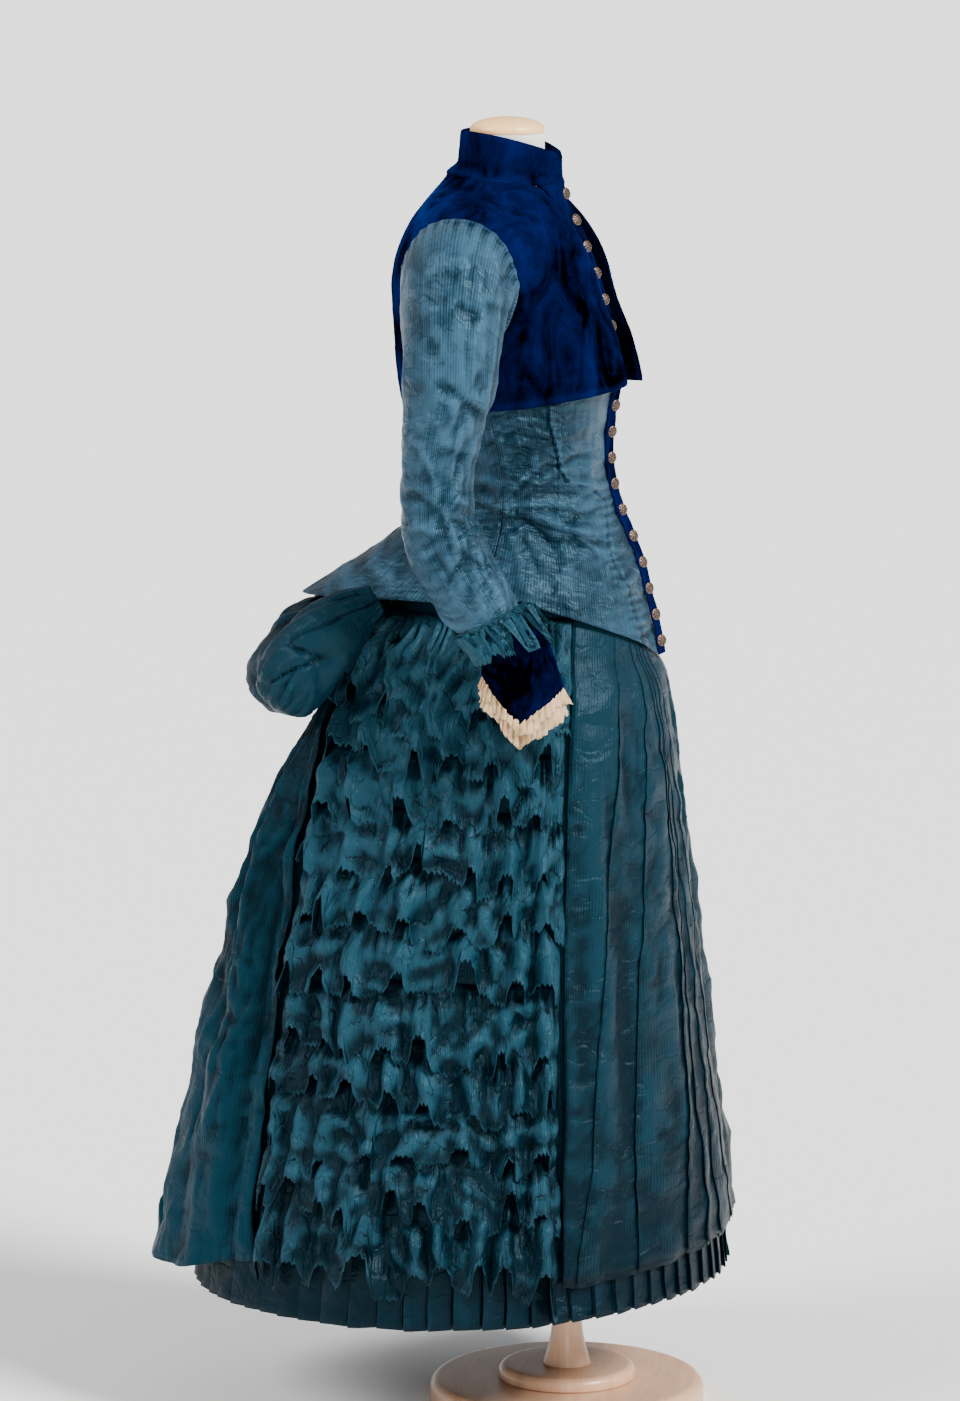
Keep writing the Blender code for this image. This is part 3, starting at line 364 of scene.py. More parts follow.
def crumple(x, y, size, seed, folds=7):
    """Facets like those of stiff cloth that was once crushed: zigzag waves in
    random directions, each bent by hills and shown only in patches."""
    chance = np.random.default_rng(seed)
    total = 0.0
    for fold in range(folds):
        way = chance.uniform(0, math.pi)
        length = size * chance.uniform(0.6, 1.7)
        bend = 0.55 * hills(x, y, 1.6 * size, seed + 31 * fold + 1)
        patch = np.clip(1.3 * hills(x, y, 1.9 * size, seed + 31 * fold + 2) + 0.35, 0, 1)
        wave = zigzag((x * math.cos(way) + y * math.sin(way)) / length + bend + chance.uniform())
        total = total + patch * wave * length / size
    return total / folds**0.5


def creases(x, y, table):
    """The sum of listed creases. Columns: where each starts, where it
    ends, its width, and its depth, below zero for a trough. Across the crease
    the depth falls off as exp(-|d|^1.3), three times as slowly on one side,
    like a fold that has fallen over, and it fades out towards both ends."""
    total = 0.0
    for start_x, start_y, end_x, end_y, width, depth in table:
        along_x, along_y = end_x - start_x, end_y - start_y
        length = math.hypot(along_x, along_y)
        share = ((x - start_x) * along_x + (y - start_y) * along_y) / length**2
        bow = 0.08 * length * 4 * share * (1 - share)
        off = ((x - start_x) * along_y - (y - start_y) * along_x) / length - bow
        fade = np.clip(4.0 * share * (1 - share), 0, 1) ** 0.6
        wide = np.where(off * depth > 0, 2.4, 0.8) * width
        total = total + depth * fade * bell(off / wide, 1.3)
    return total


def grid_normals(grid, closed):
    """Unit normals of a grid of points: across the step along a row and the
    step down a column, each taken between the two neighbours."""
    if closed:
        across = np.roll(grid, -1, 1) - np.roll(grid, 1, 1)
    else:
        across = np.gradient(grid, axis=1)
    normal = np.cross(across, np.gradient(grid, axis=0))
    return normal / np.maximum(np.linalg.norm(normal, axis=-1, keepdims=True), 1e-12)


def out_normals(grid, inside, closed=False):
    """The same, turned away from the points given by inside."""
    normal = grid_normals(grid, closed)
    away = np.sum(normal * (grid - np.asarray(inside, float)), -1)
    return -normal if np.mean(away) < 0 else normal


def pressed(grid, marks, inside, closed=False):
    """The grid with each point moved out along its normal by its own mark."""
    return grid + marks[..., None] * out_normals(grid, inside, closed)


sample = crumple(steps(400), steps(400).T, 0.05, 3)
print("crumple runs from", round(float(sample.min()), 2), "to", round(float(sample.max()), 2))

# %% [markdown]
# ## From a grid to a piece of cloth
#
# Each piece goes through one function. It joins one or more grids into a mesh,
# turns the faces outwards, lays a UV map in metres along the threads of the
# cloth, so that the weave follows the cut, and gives the sheet its thickness
# with a Solidify modifier. It also measures the grids, which gives the size
# that the cloth was cut to before it was pleated or gathered.

# %% The function that makes a piece
RELIEF_FULL = 0.002            # metres above or below its surroundings that count as 1
CUT_ALLOWANCE = 1.02           # a fiftieth more cloth, for the seams


def lengths(grid, closed):
    """How far each point lies along its row and down its column, in metres,
    both averaged so that a thread stays one thread."""
    row = np.concatenate([grid, grid[:, :1]], 1) if closed else grid
    across = np.linalg.norm(np.diff(row, axis=1), axis=-1).mean(0)
    down = np.linalg.norm(np.diff(grid, axis=0), axis=-1).mean(1)
    return np.concatenate([[0], np.cumsum(across)]), np.concatenate([[0], np.cumsum(down)])


def grid_area(grid, closed):
    """The area of the grid's little quadrilaterals, from their diagonals."""
    row = np.concatenate([grid, grid[:, :1]], 1) if closed else grid
    one = row[1:, 1:] - row[:-1, :-1]
    other = row[1:, :-1] - row[:-1, 1:]
    return float(np.linalg.norm(np.cross(one, other), axis=-1).sum() / 2)


def relief(grid, closed, rounds=7):
    """How far each point stands above its surroundings, along the normal: the
    grid less a copy whose points were averaged with their neighbours. It is
    -1 at 2 mm down in a crease and 1 at 2 mm up on a fold."""
    smooth = grid
    for _ in range(rounds):
        row = np.pad(smooth, ((1, 1), (0, 0), (0, 0)), mode="edge")
        row = (row[:-2] + row[2:] + 2 * smooth) / 4
        way = np.pad(row, ((0, 0), (1, 1), (0, 0)), mode="wrap" if closed else "edge")
        smooth = (way[:, :-2] + way[:, 2:] + 2 * row) / 4
    return np.clip(np.sum((grid - smooth) * grid_normals(smooth, closed), -1) / RELIEF_FULL, -1, 1)


def make_piece(name, strips, material, nodes, thickness, inside, closed=False,
               sheet=None, sharp=60, pale=0.0):
    """One object from one or more grids of points. nodes are the solids that
    it stands for. sheet says how the cloth is held, or None for what isn't
    cloth. pale is added to the relief before it is stored: above 0 the
    materials paint a highlight, below 0 painted shade."""
    points, corners, uvs, heights = [], [], [], []
    start, wide, long, area = 0, 0.0, 0.0, 0.0
    for strip in strips:
        rows, columns = strip.shape[:2]
        flip = np.mean(np.sum(grid_normals(strip, closed) * (strip - np.asarray(inside, float)), -1)) < 0
        number = start + np.arange(rows * columns).reshape(rows, columns)
        if closed:
            number = np.concatenate([number, number[:, :1]], 1)
        across, down = lengths(strip, closed)
        u, v = np.meshgrid(across, down)
        cell = [(slice(None, -1), slice(None, -1)), (slice(None, -1), slice(1, None)),
                (slice(1, None), slice(1, None)), (slice(1, None), slice(None, -1))]
        if flip:
            cell = cell[::-1]
        corners.append(np.stack([number[a, b] for a, b in cell], -1).reshape(-1, 4))
        uvs.append(np.stack([np.stack([u[a, b], -v[a, b]], -1) for a, b in cell], 2).reshape(-1, 2))
        points.append(strip.reshape(-1, 3))
        stand = relief(strip, closed) * (-1 if flip else 1)
        heights.append(np.clip(stand + pale, -1, 1).ravel())
        start += rows * columns
        wide, long = max(wide, float(across[-1])), long + float(down[-1])
        area += grid_area(strip, closed)
    corners = np.concatenate(corners)
    mesh = bpy.data.meshes.new(name)
    mesh.from_pydata(np.concatenate(points).tolist(), [], corners.tolist())
    layer = mesh.uv_layers.new(name="cloth")
    layer.data.foreach_set("uv", np.concatenate(uvs).astype(np.float32).ravel())
    # The relief, with pale added, is stored for the materials: painted highlight on the crests, painted shade
    # in the creases.
    stands = mesh.attributes.new("relief", "FLOAT", "POINT")
    stands.data.foreach_set("value", np.concatenate(heights).astype(np.float32))
    mesh.shade_smooth()
    mesh.set_sharp_from_angle(angle=math.radians(sharp))
    mesh.materials.append(material)
    piece = add_object(name, mesh)
    if thickness:
        wall = piece.modifiers.new("thickness", "SOLIDIFY")
        wall.thickness = thickness
        wall.offset = -1.0
        wall.use_quality_normals = True
    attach(piece, "root")
    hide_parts(*nodes)
    if sheet:
        wide, long = wide * CUT_ALLOWANCE, long * CUT_ALLOWANCE
        print(f"{name}: cut {wide:.2f} x {long:.2f} m, {area:.3f} m2, {len(corners)} faces")
    else:
        print(f"{name}: {len(corners)} faces")
    return piece

# %% [markdown]
# ## Materials
#
# Five finishes make up the costume. The silk is a faille: fine ribs run down
# the cloth, the warp and weft have slightly different blues, and each thread
# is a little thicker here and thinner there. That could be painted on, but an
# image would blur from close by, so the threads are worked out from the UV
# map in metres. Every silk and cotton needs the thread pattern, so it is a
# shader node group, built once.

# %% Helpers for shader nodes
def add_node(tree, kind, inputs=None, **settings):
    """A shader node with its settings, then its inputs."""
    made = tree.nodes.new("ShaderNode" + kind)
    for key, value in settings.items():
        setattr(made, key, value)
    fill(tree, made, inputs or {})
    return made


def scaled(tree, value, factor, start=0.0):
    """The value times the factor, plus start."""
    return add_node(tree, "Math", {0: value, 1: factor, 2: start}, operation="MULTIPLY_ADD").outputs[0]


def scaled_vector(tree, vector, factor, start=(0.0, 0.0, 0.0)):
    """The same for each of a vector's three parts."""
    return add_node(tree, "VectorMath", {0: vector, 1: factor, 2: start}, operation="MULTIPLY_ADD").outputs[0]


def add_up(tree, start, terms):
    """start plus each value times its factor."""
    for value, factor in terms:
        start = scaled(tree, value, factor, start)
    return start


def clamped(tree, value, low=0.0):
    """The value held between low and 1."""
    return add_node(tree, "Clamp", {0: value, 1: low}).outputs[0]


def part_of(tree, vector, axis):
    """A vector's x, y or z, where axis is 0, 1 or 2."""
    return add_node(tree, "SeparateXYZ", {0: vector}).outputs[axis]


def stretched(tree, vector, scale):
    """A place times a scale of its own along each axis."""
    return add_node(tree, "Mapping", {"Vector": vector, "Scale": scale}).outputs[0]


def noise(tree, where, scale, detail=2.0, roughness=0.5, distortion=0.0):
    """Blender's noise, from 0 to 1."""
    settings = {"Vector": where, "Scale": scale, "Detail": detail,
                "Roughness": roughness, "Distortion": distortion}
    return add_node(tree, "TexNoise", settings).outputs[0]


def stored(tree, name):
    """A number stored on the mesh at each of its points."""
    return add_node(tree, "Attribute", attribute_name=name).outputs["Fac"]


def object_place(tree):
    """Where a point of the surface is, in metres on the piece's own axes."""
    return add_node(tree, "TexCoord").outputs["Object"]


def mix_colours(tree, share, first, second):
    """The first colour where share is 0 and the second where it is 1."""
    mixed = add_node(tree, "Mix", {0: share, 6: (*first, 1), 7: (*second, 1)}, data_type="RGBA")
    return mixed.outputs[2]


def bump(tree, strength, distance, height):
    """Normals tilted as if the surface stood distance times height higher."""
    inputs = {"Strength": strength, "Distance": distance, "Height": height}
    return add_node(tree, "Bump", inputs).outputs[0]


# %% The thread pattern, as a node group
FINE_CELLS = 2.7               # fine folds to a broad one
threads = bpy.data.node_groups.new("threads", "ShaderNodeTree")
for way, kind, names in (
    ("INPUT", "Vector", ("Cloth", "Body", "Fold size")),
    ("INPUT", "Float", ("Rib spacing",)),
    ("OUTPUT", "Float", ("Rib", "Streak", "Slub", "Patch", "Crush", "Fold", "Line", "Dent")),
):
    for name in names:
        threads.interface.new_socket(name, in_out=way, socket_type="NodeSocket" + kind)
entry = threads.nodes.new("NodeGroupInput").outputs
cloth, body, fold_size = entry["Cloth"], entry["Body"], entry["Fold size"]


def cells(where, scale, **settings):
    """How far each place is from the middle of its cell, or from its edge."""
    inputs = {"Vector": where, "Scale": scale}
    found = add_node(threads, "TexVoronoi", inputs, voronoi_dimensions="2D", **settings)
    return found.outputs["Distance"]


def held(value, factor, start, low=0.0):
    """The value times the factor plus start, held between low and 1."""
    return clamped(threads, scaled(threads, value, factor, start), low)


angle = add_node(threads, "Math", {0: 2 * math.pi, 1: entry["Rib spacing"]}, operation="DIVIDE").outputs[0]
rib = add_node(threads, "Math", {0: scaled(threads, part_of(threads, cloth, 0), angle)}, operation="SINE")
wander = add_node(threads, "TexNoise", {"Vector": body, "Scale": 26.0, "Detail": 2.0}).outputs[1]
bent = scaled_vector(threads, scaled_vector(threads, wander, (0.030, 0.030, 0.0), cloth), fold_size)
broad, fine = (cells(bent, scale, distance="MANHATTAN") for scale in (1.0, FINE_CELLS))
calm = held(noise(threads, body, 11.0), 4.0, -1.3, 0.15)
bent = scaled_vector(threads, wander, (0.5, 0.5, 0.0), scaled_vector(threads, cloth, fold_size))
line = held(cells(bent, FINE_CELLS, feature="DISTANCE_TO_EDGE"), -10.0, 1.0)
broken = held(noise(threads, body, 55.0), 5.0, -2.0)
dent = noise(threads, stretched(threads, cloth, (42.0, 105.0, 1.0)), 1.0, 2.0, 0.55, 1.3)
fill(threads, threads.nodes.new("NodeGroupOutput"), {
    "Rib": rib.outputs[0],
    "Streak": noise(threads, stretched(threads, cloth, (330.0, 7.0, 1.0)), 1.0, 3.0, 0.6),
    "Slub": noise(threads, stretched(threads, cloth, (12.0, 420.0, 1.0)), 1.0, 3.0, 0.6),
    "Patch": noise(threads, body, 7.0, 3.0, 0.55, 0.4),
    "Crush": noise(threads, body, 70.0, 5.0, 0.62, 0.9),
    "Fold": scaled(threads, scaled(threads, fine, 0.4, broad), calm),
    "Line": scaled(threads, line, broken),
    "Dent": held(dent, 5.0, -2.85),
})
print("threads:", len(threads.nodes), "nodes")


def thread_pattern(tree, rib_spacing, fold_size):
    """The thread pattern's outputs, laid along a piece's own UV map."""
    inputs = {"Cloth": add_node(tree, "UVMap", uv_map="cloth").outputs[0], "Body": object_place(tree),
              "Rib spacing": rib_spacing, "Fold size": fold_size}
    return add_node(tree, "Group", inputs, node_tree=threads).outputs


# %% [markdown]
# The silk is shot: its warp and weft differ, so it moves between a green-blue
# and a greyer, more purple blue. Broad patches and faint streaks along the
# threads do that. The crests of the folds are painted lighter and the creases
# darker, from the relief stored on each mesh: painted highlight and painted
# shade. Each silk is also painted lighter or darker with height, as more or
# less light falls on it from above: painted light and shade. The bump is
# mostly flat facets with sharp edges: cells whose distance is counted along
# the threads, |u| + |v|, so that each is a little pyramid. Thin crinkles run
# along the edges of other cells, and ribs, slubs and scattered dents are
# added. The folds, crinkles and dents of the bump also darken the colour:
# painted shade.

# %% Silk
RIB_SPACING = 0.0030
# Columns: name, darkest and lightest blue, how much it mirrors, how streaky it
# is, folds a metre across and along the threads, how strongly the folds, the
# crinkles and the dents show, how much lighter it is painted a metre above a
# height (painted light from above; below 0 it is darker, painted shade), and
# that height. The five rows are one silk: the bodice and sleeves are given
# lighter blues and the skirt darker ones, which is painted light and shade.
SILKS = (
    ("skirt_silk", (0.0002, 0.0050, 0.0092), (0.0036, 0.0190, 0.0310),
     0.12, 0.55, (6.0, 15.0, 1.0), 0.36, 0.40, 0.10, 2.1, 0.62),
    ("back_silk", (0.0001, 0.0044, 0.0082), (0.0034, 0.0230, 0.0380),
     0.06, 0.8, (8.0, 10.0, 1.0), 0.36, 0.35, 0.20, -1.5, 0.64),
    ("bodice_silk", (0.0013, 0.0105, 0.0205), (0.0245, 0.0660, 0.1070),
     0.20, 0.9, (16.0, 38.0, 1.0), 0.58, 0.20, 0.20, 0.15, 1.07),
    ("sleeve_silk", (0.0014, 0.0110, 0.0215), (0.0275, 0.0725, 0.1170),
     0.20, 0.9, (16.0, 30.0, 1.0), 0.48, 0.35, 0.25, -0.30, 1.30),
    ("ruffle_silk", (0.0004, 0.0060, 0.0108), (0.0100, 0.0400, 0.0615),
     0.12, 0.35, (12.0, 14.0, 1.0), 0.55, 0.75, 0.15, 1.7, 0.49),
)


def make_silk(name, deep, light, mirror, streak, fold_size, fold, line, dent, fade, middle):
    """Faille. The share of the lighter blue and the height of the bump are both
    sums of the thread pattern's outputs, each times a factor of its own."""
    material, tree, shader = new_material(name)
    pattern = thread_pattern(tree, RIB_SPACING, fold_size)
    above = part_of(tree, object_place(tree), 2)
    # Painted light and shade: the share of the lighter blue grows or shrinks with height.
    share = scaled(tree, above, fade, -0.27 - 0.5 * streak - fade * middle)
    # Fold, Line and Dent darken it: painted shade of the bump's small folds, crinkles and dents. The stored
    # relief gives painted highlight on crests and painted shade in creases.
    share = add_up(tree, share, (
        (pattern["Patch"], 1.6), (pattern["Streak"], streak), (pattern["Rib"], 0.20),
        (pattern["Fold"], -0.45 * fold), (pattern["Line"], -0.75 * line), (pattern["Dent"], -0.9 * dent),
        (stored(tree, "relief"), 0.78),
    ))
    height = add_up(tree, 0.0, (
        (pattern["Fold"], fold), (pattern["Line"], -0.14 * line), (pattern["Dent"], -0.16 * dent),
        (pattern["Crush"], 0.09), (pattern["Rib"], 0.007), (pattern["Slub"], 0.010),
    ))
    fill(tree, shader, {
        "Base Color": mix_colours(tree, clamped(tree, share), deep, light),
        "Roughness": scaled(tree, pattern["Slub"], 0.16, 0.33),
        "Specular IOR Level": mirror, "Specular Tint": (0.45, 0.80, 1.0, 1.0),
        "Normal": bump(tree, 1.0, 0.011, height),
    })
    return material


skirt_silk, back_silk, bodice_silk, sleeve_silk, ruffle_silk = (make_silk(*row) for row in SILKS)
print("silks:", ", ".join(row[0] for row in SILKS))

# %% [markdown]
# Velvet is a lawn of upright fibres. Seen straight on, light falls between
# them and it looks almost black; at its turning edges it lights up. The
# Principled shader's sheen does this, and patches where the pile was brushed
# or crushed another way change the blue underneath. The edges are painted
# brightest, as painted sheen and as wear; the crests of folds are painted
# lighter and the hollows darker, as painted highlight and shade; and the
# collar and shoulders are painted lighter than the lower edge, as painted
# sheen.

# %% Velvet
# Heights between which the velvet is painted lighter upwards: painted sheen.
PAINTED_SHEEN_LOW, PAINTED_SHEEN_HIGH = 1.22, 1.50
velvet, tree, shader = new_material("blue_velvet")
body = object_place(tree)
brushed = noise(tree, stretched(tree, body, (1.0, 1.0, 0.5)), 24.0, 5.0, 0.62, 0.9)
fine = noise(tree, body, 260.0, 2.0, 0.7)
# Painted sheen: the share of the lighter blue grows towards the collar and shoulders.
above = {0: part_of(tree, body, 2), 1: PAINTED_SHEEN_LOW, 2: PAINTED_SHEEN_HIGH, 3: -1.14, 4: -0.80}
share = add_node(tree, "MapRange", above).outputs[0]
# The stored relief gives painted highlight on crests, painted shade in hollows, and painted sheen and wear at
# the edges.
share = clamped(tree, add_up(tree, share, ((brushed, 2.3), (fine, 0.30), (stored(tree, "relief"), 0.38))))
fill(tree, shader, {
    "Base Color": mix_colours(tree, share, (0.00005, 0.0001, 0.0008), (0.0003, 0.0050, 0.0610)),
    "Roughness": scaled(tree, fine, 0.2, 0.62), "Specular IOR Level": 0.0,
    "Sheen Weight": scaled(tree, share, 0.75, 0.03), "Sheen Roughness": 0.30,
    "Sheen Tint": (0.0005, 0.055, 0.42, 1.0),
    "Normal": bump(tree, 0.5, 0.0006, scaled(tree, fine, 0.6, brushed)),
})
print("velvet:", len(tree.nodes), "nodes")

# %% [markdown]
# The frill is cream cotton, with darker ochre patches laid at random as
# painted shade for its folds. The form's cover is a plain white cotton, whose
# tone differs a little at random. Both take their weave from the thread group,
# with its ribs closer together.

# %% Cotton for the frill and the form
def make_cotton(name, deep, light, tone_and_shade_contrast):
    """Plain cotton, darker in random patches: painted shade for the frill's folds, and the form cover's own
    tone. stain is how sharply they show.
    """
    material, tree, shader = new_material(name)
    pattern = thread_pattern(tree, 0.3 * RIB_SPACING, (20.0, 20.0, 1.0))
    tone_and_shade = scaled(tree, pattern["Crush"], tone_and_shade_contrast, 0.5 - tone_and_shade_contrast / 2)
    fill(tree, shader, {
        "Base Color": mix_colours(tree, tone_and_shade, deep, light), "Roughness": 0.88,
        "Specular IOR Level": 0.25, "Sheen Weight": 0.15,
        "Normal": bump(tree, 0.5, 0.0004, scaled(tree, pattern["Streak"], 1.0, pattern["Slub"])),
    })
    return material


# The frill's dark ochre is painted shade; the form's grey is its own tone.
frill_cotton = make_cotton("frill_cotton", (0.22, 0.120, 0.050), (0.80, 0.575, 0.34), 1.6)
form_cotton = make_cotton("form_cotton", (0.78, 0.77, 0.75), (0.93, 0.92, 0.90), 0.8)
print("cottons:", frill_cotton.name, form_cotton.name)

# %% [markdown]
# The stand is maple under a satin varnish: pale honey, with faint grain lines
# that a noise stretched along the grain gives. The buttons are bronze, with
# their piercings painted dark, which a stored attribute marks: painted shade,
# as the piercings aren't cut through.

# %% Wood and bronze
def make_maple(name, stretch, light, dark):
    """Grain: noise squeezed across the fibres and stretched along them."""
    material, tree, shader = new_material(name)
    along = stretched(tree, object_place(tree), stretch)
    lines = noise(tree, along, 9.0, 6.0, 0.62, 1.2)
    flecks = noise(tree, along, 60.0)
    share = clamped(tree, add_up(tree, -0.55, ((lines, 2.0), (flecks, 0.35))))
    fill(tree, shader, {
        "Base Color": mix_colours(tree, share, light, dark), "Roughness": scaled(tree, lines, 0.12, 0.30),
        "Coat Weight": 0.25, "Coat Roughness": 0.22, "Normal": bump(tree, 0.15, 0.0004, flecks),
    })
    return material


stand_maple = make_maple("stand_maple", (1.0, 6.0, 1.0), (0.70, 0.42, 0.26), (0.53, 0.29, 0.17))
cap_maple = make_maple("cap_maple", (1.0, 9.0, 1.0), (1.00, 0.66, 0.32), (0.92, 0.48, 0.18))

bronze, tree, shader = new_material("bronze")
tarnish = noise(tree, object_place(tree), 500.0, 3.0)
# The stored hollow paints the piercings dark: painted shade. The tarnish noise is the bronze's own.
share = clamped(tree, add_up(tree, -0.22, ((stored(tree, "hollow"), 1.5), (tarnish, 0.9))))
fill(tree, shader, {
    "Base Color": mix_colours(tree, share, (0.170, 0.112, 0.082), (0.010, 0.007, 0.005)),
    "Metallic": 0.7, "Roughness": scaled(tree, share, 0.35, 0.30),
})
print("materials:", ", ".join(m.name for m in bpy.data.materials))

# %% [markdown]
# ## The stand
#
# Four turned pieces of wood. A turned piece is a profile spun round an axis,
# and the grid for it is the profile's radius times the cosine and sine of the
# angle. Many sides keep the wide base round in outline.

# %% The turned stand
BASE_RADIUS, BASE_DEPTH = 0.164, 0.030
FLANGE_RADIUS, FLANGE_DEPTH = 0.082, 0.0165
POLE_RADIUS, FOOT_RADIUS, FOOT_HEIGHT = 0.0170, 0.0290, 0.072
FORM_FOOT, NECK_TOP = 0.800, 1.519
NECK_CENTRE, NECK_RADIUS = 0.073, 0.0435
GAP = 0.0003


def spun(profile, centre, sides):
    """x = r cos(a), y = centre + r sin(a), z = h for each (r, h) in the profile."""
    radius, height = np.array(profile, float).T[..., None]
    angle = whole_turn(sides)
    return np.stack([radius * np.cos(angle), centre + radius * np.sin(angle), height + 0 * angle], -1)


def rounded_disc(radius, low, high, rounding):
    """A disc's profile: from the middle below, out, round the upper edge in a
    quarter circle, and back to the middle."""
    a = np.linspace(0, math.pi / 2, 10)
    edge = np.stack([radius - rounding * (1 - np.cos(a)), high - rounding * (1 - np.sin(a))], -1)
    under = [(1e-4, low), (radius * 0.5, low), (radius - 0.0015, low), (radius, low + 0.0015)]
    top = [(radius * 0.75, high), (radius * 0.4, high), (1e-4, high)]
    return [*under, *edge.tolist(), *top]


low, high = BASE_DEPTH + GAP, BASE_DEPTH + FLANGE_DEPTH
share = np.linspace(0, 1, 14)
flare = mix(POLE_RADIUS, FOOT_RADIUS, (1 - share) ** 2.2)
pole = [(1e-4, high + GAP), *zip(flare, high + GAP + FOOT_HEIGHT * share)]
pole += [(POLE_RADIUS, 0.4), (POLE_RADIUS, FORM_FOOT - GAP), (1e-4, FORM_FOOT - GAP)]
a = np.linspace(0, math.pi / 2 - 0.02, 9)
dome = [(1e-4, NECK_TOP + GAP), (NECK_RADIUS - 0.001, NECK_TOP + GAP), (NECK_RADIUS, NECK_TOP + 0.0012)]
dome += list(zip(NECK_RADIUS * np.cos(a), NECK_TOP + GAP + 0.004 + 0.0145 * np.sin(a)))
for name, node, profile, centre, sides, material in (
    ("base_disc", "stand_base", rounded_disc(BASE_RADIUS, 0.0, BASE_DEPTH, 0.012), 0.0, 128, stand_maple),
    ("base_flange", "stand_flange", rounded_disc(FLANGE_RADIUS, low, high, 0.010), 0.0, 96, stand_maple),
    ("pole", "stand_pole", pole, 0.0, 48, stand_maple),
    ("cap", "neck_cap", dome, NECK_CENTRE, 72, cap_maple),
):
    middle = (0.0, centre, 0.5 * (profile[0][1] + profile[-1][1]))
    make_piece(name, [spun(profile, centre, sides)], material, [node], 0, middle,
               closed=True, sharp=40)

# %% [markdown]
# ## The dress form
#
# Only the neck shows, but the form is whole: hips, a laced waist and a chest
# that is the bodice's own shape drawn in by the ease of the garment.

# %% The limbless form
EASE, FORM_SHOULDER = 0.0090, 1.450
FORM_SECTIONS = (
    (0.800, -0.060, 0.150, 0.055, 0.110),
    (0.806, -0.070, 0.160, 0.055, 0.122),
    (0.850, -0.084, 0.172, 0.058, 0.140),
    (0.900, -0.085, 0.172, 0.060, 0.144),
    (0.950, -0.077, 0.166, 0.060, 0.129),
    (1.000, -0.063, 0.152, 0.056, 0.107),
    (1.050, -0.046, 0.137, 0.050, 0.092),
    (1.100, -0.038, 0.132, 0.048, 0.090),
)
turn = whole_turn(96)
height = np.linspace(FORM_FOOT, FORM_SHOULDER, 70)[:, None]
hips = sections(FORM_SECTIONS)(turn, height)
chest = BODICE(turn, np.maximum(height, 1.10), -EASE)
chest[..., 2] = height
body = mix(hips, chest, ease(1.06, 1.15, height)[..., None])
neck = np.stack([NECK_RADIUS * np.sin(turn), NECK_CENTRE - NECK_RADIUS * np.cos(turn), 0 * turn], -1)
share = np.linspace(0, 1, 22)[1:, None, None]
rise = np.array([0, 0, 1.0]) * mix(FORM_SHOULDER, NECK_TOP, share)
shoulder = BODICE(turn, FORM_SHOULDER, -EASE) * np.array([1, 1, 0])
blend = np.clip(3.4 * share, 0, 1) ** 0.55
form = np.concatenate([body, shoulder * (1 - blend) + neck * blend + rise])
lid = mix(np.array([0.0, 0.06, 0.0]), form[:1], np.array([1e-3, 1e-3, 1]))
top = mix(np.array([0, NECK_CENTRE, NECK_TOP]), form[-1:], 1e-3)
form = np.concatenate([lid, form, top])
make_piece("form", [form], form_cotton, ["dress_form"], 0,
           core(form, 0.06, np.clip(form[..., 2], 0.85, 1.40)), closed=True, sharp=50)

# %% [markdown]
# ## The underskirt and its pleated flounce
#
# A plain flared skirt carries everything else. Round its foot runs a strip
# pressed into knife pleats: the cloth comes out from under a pleat's edge,
# turns over it, runs along the face, and dips into the groove before the next.
# In a section from above that is a zigzag, so a pleat is a few corners, each a
# share of the pleat's width and a distance out from the skirt.

# %% The underskirt
HEM_HEIGHT, HEM_LIFT, WAIST_HEIGHT = 0.153, 0.024, 1.080
SKIRT_INSIDE = (0.0, 0.1, 0.5)


def hem_height(turn):
    """The foot of the skirt: a little higher in front, as (1 + cos) / 2 squared."""
    return HEM_HEIGHT + HEM_LIFT * (0.5 + 0.5 * np.cos(turn)) ** 2


turn = whole_turn(96)
height = mix(hem_height(turn) + 0.012, WAIST_HEIGHT, steps(30))
grid = SKIRT(turn, height)
side_way = grid[..., 0] * 1.3 + grid[..., 1]
grid = grid + 0.0012 * hills(side_way, grid[..., 2], 0.05, 5)[..., None] * grid_normals(grid, True)
make_piece("skirt", [grid], skirt_silk, ["underskirt"], 0.0012, SKIRT_INSIDE, closed=True,
           sheet="hung")

# %% The pleated flounce
FLOUNCE_PLEATS = 66
FLOUNCE_TOP = 0.245
# Columns: share of the pleat's width, distance out from the skirt, for one pleat.
KNIFE_PLEAT = ((0.20, 0.0050), (0.04, 0.0078), (0.00, 0.0090), (0.03, 0.0098),
               (0.35, 0.0084), (0.90, 0.0056), (1.00, 0.0022))


def pleat_round(count, profile, seed):
    """Shares of a whole turn and distances out for a ring of knife pleats whose
    widths differ a little. A pleat's first points lie under its own edge."""
    profile = np.array(profile)
    widths = 1 + 0.16 * np.random.default_rng(seed).uniform(-1, 1, count)
    starts = np.concatenate([[0], np.cumsum(widths)]) / widths.sum()
    share = starts[:-1, None] + profile[:, 0] * np.diff(starts)[:, None]
    return share.ravel(), np.tile(profile[:, 1], count)


share, out = pleat_round(FLOUNCE_PLEATS, KNIFE_PLEAT, 11)
turn = 2 * math.pi * share
down = steps(12)
around = share * 2.0
height = mix(FLOUNCE_TOP, hem_height(turn), down)
height = height + 0.0016 * hills(around, 0 * around, 0.03, 12) * down
splay = 0.80 + 0.20 * down + 0.16 * hills(around, down * 0.09, 0.028, 13) * down
lean = 0.0016 * hills(around, down * 0.09, 0.05, 14) * down / 0.3
grid = SKIRT(turn + lean, height, out * splay)
make_piece("flounce", [grid], skirt_silk, ["hem_flounce"], 0.0007, SKIRT_INSIDE, closed=True,
           sheet="hung", sharp=40)

